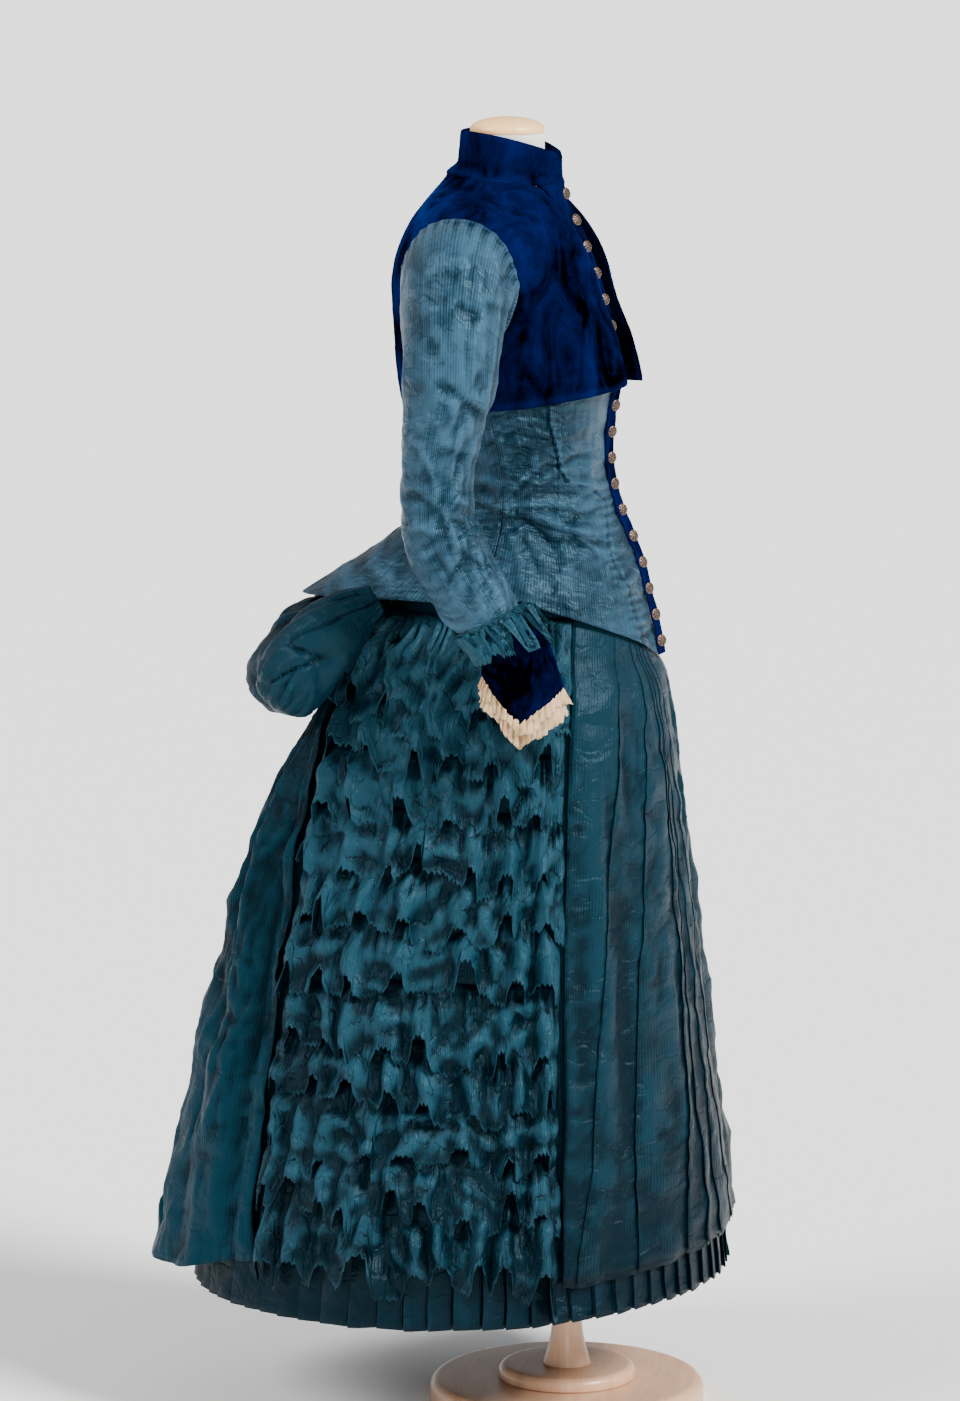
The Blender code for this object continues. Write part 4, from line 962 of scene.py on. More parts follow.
# %% [markdown]
# ## The pleated front
#
# The front breadth is laid in twelve long knife pleats that turn away from
# the middle. Their folds are sharp at the hem and die out under the bodice.
# They were not pressed straight: a table says where each fold lies at each
# height, and the columns of the grid follow it. The hem shows a second layer
# just inside the first.

# %% The front panel
FRONT_LOW, FRONT_LIFT, FRONT_TOP = 0.212, 0.026, 1.066
PANEL_FRONT_EDGE, HALF_BREADTH, PLAIN_LAP = -0.015, 0.33, 0.012
FRONT_STAND = (
    (0.200, 0.0215), (0.300, 0.0185), (0.450, 0.0150), (0.600, 0.0125), (0.850, 0.0130),
    (0.888, 0.0125), (0.912, 0.0052), (0.940, 0.0046), (0.980, 0.0048), (1.070, 0.0045),
)
FRONT_PLEAT_DEPTH = (
    (0.200, 0.0056), (0.600, 0.0034), (0.850, 0.0024), (0.910, 0.0012), (1.070, 0.0006),
)
# Where the six folds of each half lie, as shares of the way from the middle
# to the breadth's edge. Columns: height, then the folds from the middle out.
FRONT_FOLDS = (
    (0.200, 0.065, 0.220, 0.340, 0.460, 0.705, 0.945),
    (0.250, 0.070, 0.220, 0.335, 0.455, 0.700, 0.938),
    (0.340, 0.088, 0.210, 0.315, 0.420, 0.688, 0.885),
    (0.450, 0.092, 0.200, 0.292, 0.362, 0.656, 0.857),
    (0.540, 0.104, 0.195, 0.272, 0.336, 0.622, 0.825),
    (0.630, 0.122, 0.200, 0.262, 0.316, 0.566, 0.790),
    (0.720, 0.150, 0.212, 0.264, 0.304, 0.516, 0.742),
    (0.800, 0.180, 0.240, 0.282, 0.318, 0.474, 0.692),
    (0.870, 0.200, 0.268, 0.310, 0.345, 0.442, 0.668),
    (0.950, 0.222, 0.290, 0.340, 0.384, 0.452, 0.604),
    (1.070, 0.240, 0.312, 0.360, 0.420, 0.500, 0.600),
)
# One pleat, from the middle outwards. Columns: share of its width, a share of
# the half breadth added to that, share of its depth. Its end doubles back.
FRONT_PLEAT = (
    (0.00, -0.014, 0.22), (0.00, 0.004, 0.24), (0.12, 0.0, 0.31), (0.27, 0.0, 0.42), (0.43, 0.0, 0.54),
    (0.59, 0.0, 0.67), (0.75, 0.0, 0.80), (0.90, 0.0, 0.93), (1.00, 0.003, 1.00),
    (1.00, 0.0095, 0.98), (1.00, 0.0100, 0.78), (1.00, 0.004, 0.50), (1.00, -0.010, 0.36),
)
# Creases seen from in front. Columns: turn and height where one starts and ends, width, depth.
FRONT_CREASES = (
    (-0.86, 0.860, -0.60, 0.800, 0.010, -0.0022),
    (-0.62, 0.835, -0.44, 0.770, 0.009, 0.0018),
    (-0.95, 0.790, -0.70, 0.760, 0.008, -0.0016),
    (-0.52, 0.905, -0.33, 0.880, 0.008, -0.0014),
    (-0.78, 0.700, -0.55, 0.640, 0.012, 0.0020),
    (-0.70, 0.600, -0.56, 0.520, 0.010, -0.0020),
    (-0.93, 0.480, -0.74, 0.430, 0.009, -0.0018),
    (-0.42, 0.640, -0.30, 0.560, 0.010, 0.0016),
    (-0.60, 0.400, -0.42, 0.372, 0.008, 0.0018),
    (-0.85, 0.320, -0.66, 0.300, 0.009, -0.0018),
    (-0.36, 0.470, -0.22, 0.440, 0.008, -0.0014),
    (0.84, 0.850, 0.56, 0.795, 0.010, -0.0021),
    (0.60, 0.760, 0.44, 0.690, 0.010, 0.0019),
    (0.92, 0.640, 0.66, 0.600, 0.011, -0.0019),
    (0.74, 0.500, 0.50, 0.455, 0.009, 0.0018),
    (0.88, 0.350, 0.62, 0.330, 0.008, -0.0017),
    (0.14, 0.780, -0.08, 0.742, 0.009, -0.0013),
    (0.05, 0.560, -0.16, 0.520, 0.009, 0.0013),
)


def front_half(height):
    """Shares and depths of one half's columns at each height, from the middle
    out: six pleats, then the plain strip beside the ruffles."""
    folds = curve_through(FRONT_FOLDS)(height)
    bounds = np.concatenate([0 * folds[..., :1], folds], -1)
    width, extra, depth = np.array(FRONT_PLEAT).T
    pleats = folds.shape[-1]
    shares = [mix(bounds[..., k : k + 1], bounds[..., k + 1 : k + 2], width) + extra for k in range(pleats)]
    strip = np.linspace(0, 1, 9)
    shares.append(folds[..., -1:] - PLAIN_LAP + (1 + PLAIN_LAP - folds[..., -1:]) * strip)
    return np.concatenate(shares, -1), np.concatenate([np.tile(depth, pleats), 0.25 + 0.45 * strip])


def front_grid(rows, low_extra, out_extra):
    """Rows by columns of the front breadth: both halves, each a little
    different, laid out from the folds at each row's height."""
    down = steps(rows)
    rough = mix(FRONT_TOP, FRONT_LOW + 0.5 * FRONT_LIFT, down[:, 0])
    right, depth = front_half(rough)
    left, _ = front_half(rough - 0.03 * np.sin(9 * rough))
    share = np.clip(np.concatenate([-right[:, ::-1], left], 1), -1, 1)
    depth = np.concatenate([depth[::-1], depth])
    low = FRONT_LOW + FRONT_LIFT * (1 - np.abs(share)) ** 0.8 + low_extra
    low = low + 0.0022 * hills(share * 1.3, 0.0, 0.10, 21)
    height = mix(FRONT_TOP, low, down)
    edge = turn_at(SKIRT_SECTIONS, height, PANEL_FRONT_EDGE) - 0.004
    turn = edge * share
    shallow = 0.45 + 0.55 * ease(0.10, 0.45, np.abs(share))
    lift = curve_through(FRONT_PLEAT_DEPTH)(height) * (depth - 1.0) * shallow
    flutter = 1 + 0.25 * hills(share * 2, height, 0.12, 23)
    out = curve_through(FRONT_STAND)(height) + lift * flutter + out_extra
    loose = ease(0.93, 0.80, height)
    flat = share * HALF_BREADTH
    broad = hills(flat, height * 0.12, 0.034, 26) + 0.5 * hills(flat, height * 0.2, 0.016, 27)
    out = out + 0.0050 * loose * broad
    out = out + 0.0030 * loose * crumple(flat, height, 0.070, 24)
    out = out + 0.0016 * loose * crumple(flat, height, 0.024, 25)
    beside = ease(0.74, 0.92, np.abs(share)) * ease(0.40, 0.62, height)
    out = out + 0.0026 * beside * loose * crumple(share * 0.10, height, 0.026, 28)
    out = out + loose * creases(turn, height, FRONT_CREASES)
    return SKIRT(turn, height, np.maximum(out, 0.0016))


front = front_grid(88, 0.0, 0.0)
under_hem = front_grid(88, -0.0055, -0.0030)[-8:]
make_piece("front_breadth", [front, under_hem], skirt_silk, ["front_panel"], 0.0007,
           SKIRT_INSIDE, sheet="hung", sharp=45)

# %% [markdown]
# ## The ruffles
#
# Each side of the skirt carries ten rows of gathered silk, each row lapping
# over the next, and an eleventh over the hip. A row was cut as a straight
# strip, its lower edge pinked: punched into tongues with a zigzag of teeth, so
# that it wouldn't fray. Gathered along the top, it springs out into folds.
#
# The surface and its cut edge are worked out apart. The surface says how far
# the cloth stands out at any place and distance below the seam: it lies close
# where a tongue hangs and springs out at each notch, which leaves the dark
# caves between the tongues. The edge then says where that surface stops: an
# arch at each notch, sometimes a steep one, a slanting lower end between, and
# the zigzag of the teeth.

# %% Tongues, teeth and one ruffle
PANEL_FACE = 0.0032
NOTCH_DEPTH, NOTCH_HALF_WIDTH, CAVE_HALF_WIDTH = 0.039, 0.0145, 0.014
TOOTH_DEPTH, ROW_LAP = 0.0024, 0.016
TEETH, ROWS, HIP_ROWS = 76, 20, 26
STRIP_WIDTH = 0.45             # across the panel, over the folds
# From the top. Columns: height of the seam, height of the hem, how far the
# hem's troughs and crests stand from the skirt, how many tongues.
RUFFLES = (
    (0.864, 0.790, 0.0095, 0.0330, 6),
    (0.802, 0.725, 0.0095, 0.0320, 6),
    (0.738, 0.670, 0.0095, 0.0320, 7),
    (0.684, 0.605, 0.0100, 0.0320, 7),
    (0.620, 0.527, 0.0100, 0.0330, 7),
    (0.542, 0.460, 0.0100, 0.0325, 8),
    (0.475, 0.404, 0.0105, 0.0330, 8),
    (0.419, 0.334, 0.0105, 0.0330, 8),
    (0.350, 0.271, 0.0190, 0.0345, 9),
    (0.304, 0.193, 0.0150, 0.0335, 9),
)
HIP_RUFFLE = (0.968, 0.842, 0.0130, 0.0330, 6)
PANEL_BACK_EDGE = (
    (0.200, 0.341), (0.346, 0.331), (0.466, 0.318), (0.585, 0.306),
    (0.700, 0.287), (0.830, 0.264), (0.900, 0.238), (0.960, 0.209),
)


def panel_turns(height, share):
    """Angles across the side panel on the wearer's left, front to back."""
    first = turn_at(SKIRT_SECTIONS, height, PANEL_FRONT_EDGE) + 0.006
    last = turn_at(SKIRT_SECTIONS, height, curve_through(PANEL_BACK_EDGE)(height)) - 0.008
    return mix(first, last, share)


class Pinking:
    """A strip's tongues and teeth. share is where each column lies across the
    strip, two columns to a tooth, and wide is the strip's width in metres.
    number and between say which tongue a column is in and how far across it.
    cut is 1 along a tongue's lower end and 0 at a notch. About each notch it is
    d^p, where d is the distance over the arch's half width and p, between 1.8 and
    4.6, makes each side of it straighter or rounder. depth says how deep the
    nearest notch is, and tooth is the zigzag of the teeth."""

    def __init__(self, count, teeth, seed, wide, arch, offset=0.5):
        """Draws the tongues' widths, then the arches, the depths and the teeth."""
        chance = np.random.default_rng(seed)
        widths = chance.uniform(0.6, 1.4, count + 1)
        starts = np.concatenate([[0], np.cumsum(widths)]) - offset * widths[0]
        self.starts = starts / (widths.sum() - offset * widths[0] - (1 - offset) * widths[-1])
        self.share = (np.arange(2 * teeth) + 0.5) / (2 * teeth)
        self.number = np.clip(np.searchsorted(self.starts, self.share) - 1, 0, count)
        start, end = self.starts[self.number], self.starts[self.number + 1]
        self.between = (self.share - start) / (end - start)
        self.chance = chance
        half = arch * chance.uniform(0.5, 1.5, (2, count + 2))
        power = chance.uniform(1.8, 4.6, (2, count + 2))
        apart = (self.share[:, None] - self.starts[None, :]) * wide
        self.apart = np.abs(apart).min(1)
        near = np.abs(apart).argmin(1)
        side = (apart[np.arange(2 * teeth), near] > 0).astype(int)
        self.cut = np.clip(self.apart / half[side, near], 0, 1) ** power[side, near]
        self.depth = chance.uniform(0.50, 1.20, count + 2)[near]
        self.tooth = (-1.0) ** np.arange(2 * teeth) * chance.uniform(0.5, 1.3, 2 * teeth)

    def each(self, low, high):
        """A random number for each tongue, given to all of its columns."""
        return self.chance.uniform(low, high, len(self.starts))[self.number]


def ruffle(row, seed, rows=ROWS, gather=0.0030, crushed=1.0, lap=0.0):
    """The grid of one gathered strip, from its seam to its pinked edge. gather
    is how deep the tucks at its seam are, crushed how strongly it is crumpled,
    and lap how much further up it starts."""
    seam, hem, trough, crest, count = row
    seam = seam + lap
    pinking = Pinking(count, TEETH, seed, STRIP_WIDTH, NOTCH_HALF_WIDTH)
    share, between = pinking.share, pinking.between
    flat = share * STRIP_WIDTH
    drop = seam - hem
    slant = pinking.each(-0.011, 0.011) * (2 * between - 1) + pinking.each(-0.010, 0.006)
    slant = slant - pinking.each(0.0, 0.005) * np.abs(2 * between - 1)
    length = drop + slant * pinking.cut - NOTCH_DEPTH * pinking.depth * (1 - pinking.cut)
    length = length + 0.017 * hills(flat, 0.0, 0.075, seed + 9) + 0.003 * hills(flat, 0.0, 0.011, seed + 8)
    length = length + TOOTH_DEPTH * pinking.tooth
    down = steps(rows) ** 0.9 * length
    s = down / drop

    cave = bell(pinking.apart / CAVE_HALF_WIDTH, 2.2) * pinking.depth
    calm = np.clip(pinking.apart / CAVE_HALF_WIDTH, 0, 1)
    facet = pinking.each(-1, 1) * (between - 0.5) * 0.014
    ridge = pinking.each(-0.3, 1.0) * (1 - 2.2 * np.abs(between - pinking.each(0.25, 0.75))) * 0.0065
    curl = pinking.each(-0.5, 1.0) ** 3 * 0.011
    out = mix(PANEL_FACE, trough, np.clip(s, 0, 1) ** 0.8)
    out = out + (crest - trough) * cave * ease(-0.05, 0.50, s)
    out = out + (facet + ridge) * calm * ease(0.15, 0.8, s) + curl * calm * ease(0.62, 1.05, s) ** 1.5
    out = out + 0.0030 * np.sin(math.pi * np.clip(s, 0, 1))
    tucks = zigzag(share * 17 + 0.9 * hills(share, s * 0.05, 0.06, seed + 2))
    out = out + gather * tucks * ease(0.0, 0.10, s) * ease(0.75, 0.12, s)
    loose = ease(0.02, 0.30, s)
    out = out + 0.0062 * crushed * loose * crumple(flat, down, 0.034, seed + 3)
    out = out + 0.0008 * crushed * loose * crumple(flat, down, 0.015, seed + 4)
    ends = np.minimum(share, 1 - share) / 0.02
    out = mix(PANEL_FACE, out, np.clip(0.5 + 0.5 * ends, 0, 1))
    height = seam - down + 0.008 * hills(flat, 0.0, 0.10, seed + 10) * ease(0, 0.4, s)
    sway = (0.030 * hills(flat, 0.0, 0.06, seed + 6) + 0.010 * hills(flat, down, 0.03, seed + 7)) * s
    turn = panel_turns(height, share) + sway
    return SKIRT(turn, height, np.clip(out, 0.0028 + 0.003 * s, crest + 0.003))


def painted_hem_light_and_seam_shade(rows):
    """2 along the last of so many rows: a painted highlight on the cut edge.
    The first third lies under the row above and is below 0: painted shade."""
    down = np.linspace(0, 1, rows)
    return (2.0 * (down == 1.0) - 0.9 * ease(0.42, 0.22, down))[:, None]


# %% Twenty rows of ruffles, and the two over the hips
for side, sign in SIDES:
    strips = [
        sided(ruffle(row, 100 + 17 * tier + (500 if sign > 0 else 0), lap=ROW_LAP), sign)
        for tier, row in enumerate(RUFFLES)
    ]
    make_piece(f"ruffles_{side}", strips, ruffle_silk, [f"side_ruffles_{side}"], 0.0006,
               SKIRT_INSIDE, sheet="gathered", sharp=22, pale=painted_hem_light_and_seam_shade(ROWS))
    hip = sided(ruffle(HIP_RUFFLE, 900 + 40 * sign, rows=HIP_ROWS, gather=0.0066, crushed=1.4), sign)
    make_piece(f"hip_ruffle_{side}", [hip], ruffle_silk, [f"hip_drape_{side}"], 0.0006,
               SKIRT_INSIDE, sheet="gathered", sharp=22, pale=painted_hem_light_and_seam_shade(HIP_ROWS))

# %% [markdown]
# ## The back of the skirt
#
# Below the bustle the back breadth falls free in deep soft folds that start
# together under the puff and spread towards the hem. Each fold is a ridge
# whose line runs from one place across the top to another across the hem.

# %% The back drape
BACK_LOW, BACK_TOP, BACK_LIFT, BACK_LEAST = 0.177, 0.884, 0.036, 0.0135
BACK_HALF_WIDTH = 0.30
HEM_STITCHES = 0.062           # how far above the edge the hem was stitched
BACK_STAND = (
    (0.160, 0.064), (0.294, 0.053), (0.418, 0.045), (0.541, 0.034),
    (0.640, 0.028), (0.697, 0.028), (0.760, 0.019), (0.800, 0.014), (0.880, 0.008),
)
# Columns: place across at the top and at the hem (-1 is the wearer's right
# edge, 1 the left), half the fold's width there, and how far it stands out.
BACK_FOLDS = (
    (-1.01, -0.70, 0.050, 0.070, -0.0230),
    (-0.86, -0.54, 0.070, 0.110, 0.0120),
    (-0.66, -0.33, 0.050, 0.080, -0.0150),
    (-0.43, -0.13, 0.070, 0.120, 0.0090),
    (-0.22, 0.07, 0.055, 0.085, -0.0110),
    (0.03, 0.28, 0.070, 0.120, 0.0085),
    (0.28, 0.48, 0.055, 0.085, -0.0110),
    (0.50, 0.62, 0.065, 0.105, 0.0110),
    (0.78, 0.84, 0.055, 0.080, -0.0180),
)
# Long creases across the back. Columns: place across and height where each
# starts and ends, width, depth.
BACK_CREASES = (
    (-0.97, 0.500, -0.66, 0.360, 0.012, 0.0034),
    (-0.93, 0.560, -0.84, 0.420, 0.010, -0.0026),
    (-0.60, 0.620, -0.42, 0.500, 0.012, 0.0024),
    (-0.30, 0.560, -0.10, 0.430, 0.012, -0.0024),
    (0.20, 0.640, 0.06, 0.470, 0.012, 0.0026),
    (0.95, 0.520, 0.64, 0.380, 0.012, 0.0030),
    (0.55, 0.600, 0.40, 0.450, 0.010, -0.0024),
)
share = np.linspace(-1, 1, 130)
down = steps(90)
low = BACK_LOW + BACK_LIFT * share**2 + 0.002 * hills(share, 0.0, 0.2, 31)
height = mix(BACK_TOP, low, down)
edge_back = curve_through(PANEL_BACK_EDGE)(height)
edge = turn_at(SKIRT_SECTIONS, height, edge_back) + 0.012 + 0.030 * (1 - down) ** 3
turn = math.pi + (math.pi - edge) * share
middle = np.cos(share * math.pi / 2) ** 0.8
out = mix(BACK_LEAST, curve_through(BACK_STAND)(height), middle)
for top_place, hem_place, top_half, hem_half, stand in BACK_FOLDS:
    place = mix(top_place, hem_place, down**0.8) + 0.015 * hills(height, 0.0, 0.2, 32)
    fold = bell((share - place) / mix(top_half, hem_half, down), 1.5)
    out = out + stand * fold * (1.0 - 0.35 * down)
tucks = zigzag(share * 12 + 0.8 * hills(share, height, 0.15, 33))
out = out + 0.0024 * tucks * ease(0.16, 0.0, down)
flat = share * BACK_HALF_WIDTH
out = out + 0.0062 * crumple(flat, height, 0.085, 34) + 0.0022 * crumple(flat, height, 0.026, 35)
out = out + creases(share, height, BACK_CREASES)
out = out - 0.0014 * bell((height - low - HEM_STITCHES) / 0.0026)
out = np.maximum(out, BACK_LEAST - 0.005 - 0.004 * (1 - down))
make_piece("back_breadth", [SKIRT(turn, height, out)], back_silk, ["back_drape"], 0.0008,
           SKIRT_INSIDE, sheet="hung", sharp=30)

# %% [markdown]
# ## The puff
#
# Over the bustle the silk is caught up into a wide middle puff with a loop at
# each side, like a great soft bow. A loop is a tube along a bent line: small
# where it comes out under the bodice, full in the middle and gathered shut at
# its end, with folds that run along it and fade as it fills.

# %% The middle of the puff
PUFF_OUTLINE = (
    (0.178, 1.036), (0.236, 1.004), (0.290, 0.970), (0.330, 0.957), (0.351, 0.933),
    (0.374, 0.899), (0.376, 0.868), (0.360, 0.846), (0.335, 0.838), (0.307, 0.846),
    (0.296, 0.862),
)
PUFF_HALF_WIDTH, PUFF_LENGTH, PUFF_TOP_SHARE, PUFF_TAPER = 0.120, 0.34, 0.52, 0.34
PUFF_INSET = 0.001             # brings the highest folds back to the outline
PUFF_MIDDLE = np.array((0.252, 0.928))
down = np.linspace(0, 1, 70)
share = np.linspace(-1, 1, 90)
away = even_curve(PUFF_OUTLINE)(down)[:, None, :] - PUFF_MIDDLE
taper = (1 - PUFF_TAPER * np.abs(share) ** 3)[None, :, None]
d, s = down[:, None], share[None, :]
folds = np.cos(math.pi * (4 * s + 0.5 * hills(s, d, 0.5, 41)))
fine = zigzag(11 * s + 0.9 * hills(s, d, 0.4, 42))
ends = ease(0.28, 0.0, d) + ease(0.80, 1.0, d)
full = 0.0030 * np.sin(math.pi * d) * folds + 0.0026 * fine * ends
flat = (s * PUFF_HALF_WIDTH, d * PUFF_LENGTH)
full = full + 0.0058 * crumple(*flat, 0.060, 43) * np.sin(math.pi * d) ** 0.5
full = full + 0.0014 * crumple(*flat, 0.018, 44) - PUFF_INSET
profile = PUFF_MIDDLE + away * taper + unit(away) * full[..., None]
spread = mix(PUFF_TOP_SHARE, 1, np.minimum(1.0, 3.0 * d))
grid = np.concatenate([(PUFF_HALF_WIDTH * spread * s)[..., None], profile], -1)
make_piece("puff", [grid], back_silk, ["puff_middle"], 0.0007, (0.0, *PUFF_MIDDLE),
           sheet="gathered")

# %% The two loops
# Columns: share of the way along, how far out, back and high, half the width
# across and along. The first row lies under the bodice's edge.
LOOP_SECTIONS = (
    (0.000, 0.128, 0.212, 0.988, 0.015, 0.017),
    (0.130, 0.138, 0.234, 0.974, 0.025, 0.028),
    (0.330, 0.148, 0.258, 0.952, 0.034, 0.040),
    (0.530, 0.154, 0.281, 0.928, 0.037, 0.043),
    (0.740, 0.158, 0.300, 0.903, 0.037, 0.042),
    (0.900, 0.160, 0.312, 0.880, 0.032, 0.037),
    (0.970, 0.161, 0.320, 0.866, 0.021, 0.026),
    (1.000, 0.161, 0.324, 0.859, 0.004, 0.005),
)
LOOP_FULL = 0.038              # half the width from which the folds are full
LOOP_NET = 0.06                # radius at which the wrinkles are laid round it


def make_loop(seed):
    """Rings about a bent line: centre + a cos(t) side + b sin(t) up, with side
    and up square to the line, pushed out by folds that run along it."""
    along = np.linspace(0, 1, 60)
    turn = whole_turn(84)
    table = curve_through(LOOP_SECTIONS)(along)
    centre, half_across, half_along = table[:, :3], table[:, 3], table[:, 4]
    direction = unit(np.gradient(centre, axis=0))
    side = unit(np.array([1.0, 0.0, 0.0]) - direction * direction[:, :1])
    up = np.cross(direction, side)
    a, t = along[:, None], turn[None, :]
    size = np.minimum(half_across, half_along)[:, None] / LOOP_FULL
    ends = ease(0.30, 0.0, a) + ease(0.74, 0.92, a)
    swirl = 1.2 * hills(0.10 * np.cos(t), 0.10 * np.sin(t) + 0.4 * a, 0.08, seed)
    fine = zigzag((16 * t + 3 * swirl) / (2 * math.pi)) * ends * 0.0024
    valley = bell((zigzag((3 * t + 2.2 * swirl + 1.0) / (2 * math.pi)) + 1) / 0.35, 1)
    broad = 0.002 - 0.0075 * valley
    flat = (LOOP_NET * np.cos(t) + 2 * LOOP_NET * a, LOOP_NET * np.sin(t))
    crushed = crumple(*flat, 0.045, seed + 2)
    band = crumple(*flat, 0.014, seed + 3) * ease(0.70, 0.85, a)
    full = (fine + broad + 0.0042 * crushed + 0.0026 * band) * np.clip(size, 0, 1) - PUFF_INSET
    return (
        centre[:, None] + ((half_across[:, None] + full) * np.cos(t))[..., None] * side[:, None]
        + ((half_along[:, None] + full) * np.sin(t))[..., None] * up[:, None]
    ), np.repeat(centre[:, None], len(turn), 1)


for side, sign in SIDES:
    grid, middle = (sided(points, sign) for points in make_loop(50 if sign > 0 else 57))
    make_piece(f"loop_{side}", [grid], skirt_silk, [f"puff_loop_{side}"], 0.0007, middle,
               closed=True, sheet="gathered", sharp=26)

# %% [markdown]
# ## The bodice
#
# The bodice was cut in eight panels and boned, so it hardly wrinkles except
# where it is strained: folds fan out from the waist at the side seam, and long
# darts run up from the front point to the bust. A seam is a narrow trough
# between two slight ridges. The creases are listed as they are seen from the
# side, by how far back and how high they start and end.

# %% Four panels of silk
BODICE_TOP, BASQUE_POINT, BASQUE_SIDE, BASQUE_BACK = 1.232, 0.903, 0.986, 0.976
# Columns: how far back and how high each crease starts and ends, width, depth.
BODICE_CREASES = (
    (0.062, 1.098, -0.002, 1.142, 0.0055, -0.0030),
    (0.057, 1.092, -0.010, 1.026, 0.0090, -0.0046),
    (0.048, 1.090, -0.058, 1.026, 0.0040, 0.0024),
    (0.032, 1.116, -0.030, 1.127, 0.0050, -0.0026),
    (0.022, 1.107, -0.034, 1.101, 0.0045, -0.0026),
    (0.004, 1.140, -0.030, 1.152, 0.0045, -0.0020),
    (-0.004, 1.074, -0.046, 1.086, 0.0050, -0.0026),
    (0.012, 1.061, -0.042, 1.060, 0.0050, 0.0020),
    (-0.020, 1.050, -0.058, 1.046, 0.0045, -0.0020),
    (0.061, 1.103, 0.006, 1.153, 0.0040, 0.0012),
    (0.059, 1.094, -0.016, 1.116, 0.0050, -0.0022),
    (0.059, 1.090, -0.025, 1.082, 0.0045, -0.0024),
    (0.060, 1.086, -0.002, 1.049, 0.0050, -0.0020),
    (0.062, 1.080, 0.018, 1.011, 0.0055, -0.0022),
    (0.064, 1.074, 0.042, 0.999, 0.0045, 0.0014),
    (0.068, 1.173, -0.002, 1.192, 0.0050, -0.0016),
    (0.062, 1.139, 0.010, 1.174, 0.0050, -0.0018),
    (0.020, 1.060, -0.048, 1.046, 0.0050, -0.0012),
    (-0.010, 1.095, -0.046, 1.112, 0.0040, 0.0011),
    (0.100, 1.120, 0.070, 1.098, 0.0050, -0.0018),
    (0.130, 1.095, 0.074, 1.088, 0.0055, -0.0020),
    (0.128, 1.062, 0.072, 1.078, 0.0050, -0.0016),
    (0.150, 1.150, 0.095, 1.122, 0.0060, -0.0014),
    (0.110, 1.030, 0.080, 1.060, 0.0045, 0.0012),
    (0.200, 1.030, 0.150, 1.052, 0.0060, -0.0014),
    (0.240, 1.002, 0.190, 1.006, 0.0060, 0.0013),
    (0.020, 0.985, -0.030, 0.972, 0.0060, -0.0010),
)
# Seams, each a line through points that far back and that high.
FRONT_SEAMS = (
    ((0.015, 1.235), (0.012, 1.190), (0.000, 1.135), (-0.010, 1.120), (-0.034, 1.110), (-0.046, 1.095),
     (-0.050, 1.070), (-0.058, 1.030), (-0.075, 0.995), (-0.092, 0.937)),
)
BACK_SEAMS = (
    ((0.118, 1.235), (0.110, 1.160), (0.104, 1.100), (0.130, 1.040), (0.175, 0.980)),
    ((0.158, 1.235), (0.146, 1.160), (0.136, 1.100), (0.178, 1.040), (0.235, 0.980)),
)


def bodice_hem(turn):
    """The basque: a long point in front, level over the hips and the back."""
    rise = (BASQUE_SIDE - BASQUE_POINT) * np.clip(turn / 1.35, 0, 1) ** 0.85
    dip = (BASQUE_SIDE - BASQUE_BACK) * np.clip((turn - 2.2) / 0.9, 0, 1)
    return BASQUE_POINT + rise - dip


def seams(back, height, table):
    """Each seam's trough with the cloth puckered beside it: -exp(-(d/w)^2) plus
    a wider third of the same, where d is the distance to the line."""
    total = 0.0
    for line in table:
        place = np.array(line)[::-1]
        off = back - np.interp(height, place[:, 1], place[:, 0])
        pucker = 1 + 1.1 * np.sin(height * 2 * math.pi / 0.010 + 3 * hills(height, 0.0, 0.02, 9))
        total = total - 0.0014 * bell(off / 0.0016) + 0.0008 * bell(off / 0.007) * pucker
    return total


def front_flap(back, height):
    """Above the waist the front edge of the bodice lies over as a flap: the
    cloth in front of the seam stands 2.6 mm higher and sinks away forwards."""
    place = np.array(FRONT_SEAMS[0])[::-1]
    ahead = np.interp(height, place[:, 1], place[:, 0]) - back
    return 0.0026 * ease(-0.0005, 0.0012, ahead) * ease(0.045, 0.010, ahead) * ease(1.095, 1.115, height)


for side, sign in SIDES:
    for part, first, last, columns, rows, table in (
        ("front", 0.035, SIDE_SEAM - 0.0029, 104, 104, FRONT_SEAMS),
        ("back", SIDE_SEAM + 0.0029, math.pi - 0.0019, 64, 70, BACK_SEAMS),
    ):
        turn = np.linspace(first, last, columns)
        down = steps(rows)
        height = mix(BODICE_TOP, bodice_hem(turn), down)
        grid = BODICE(turn, height)
        inside = core(grid, 0.06, height - 0.05)
        back = grid[..., 1]
        seed = 200 + (7 if sign > 0 else 0)
        marks = 1.7 * creases(back, height, BODICE_CREASES) + seams(back, height, table)
        loose = 0.35 + 0.65 * ease(1.20, 1.17, height)
        marks = marks + loose * (0.0017 * crumple(back, height, 0.040, seed)
                                 + 0.0007 * crumple(back, height, 0.016, seed + 1))
        marks = marks + (front_flap(back, height) if part == "front" else 0.0)
        turned_edge = ease(0.986, 1.0, down)
        side_marks = ease(0.0, 0.05, turn - first) if part == "front" else ease(0.0, 0.04, last - turn)
        free = 0.0016 * hills(turn * 0.15, 0.0, 0.03, seed + 3) * ease(0.8, 1.0, down)
        grid = pressed(grid, marks * side_marks * (1 - 0.4 * turned_edge) + free, inside)
        make_piece(f"silk_{part}_{side}", [sided(grid, sign)], bodice_silk, [f"bodice_{part}_{side}"],
                   0.0009, sided(inside, sign), sheet="stretched", sharp=26)

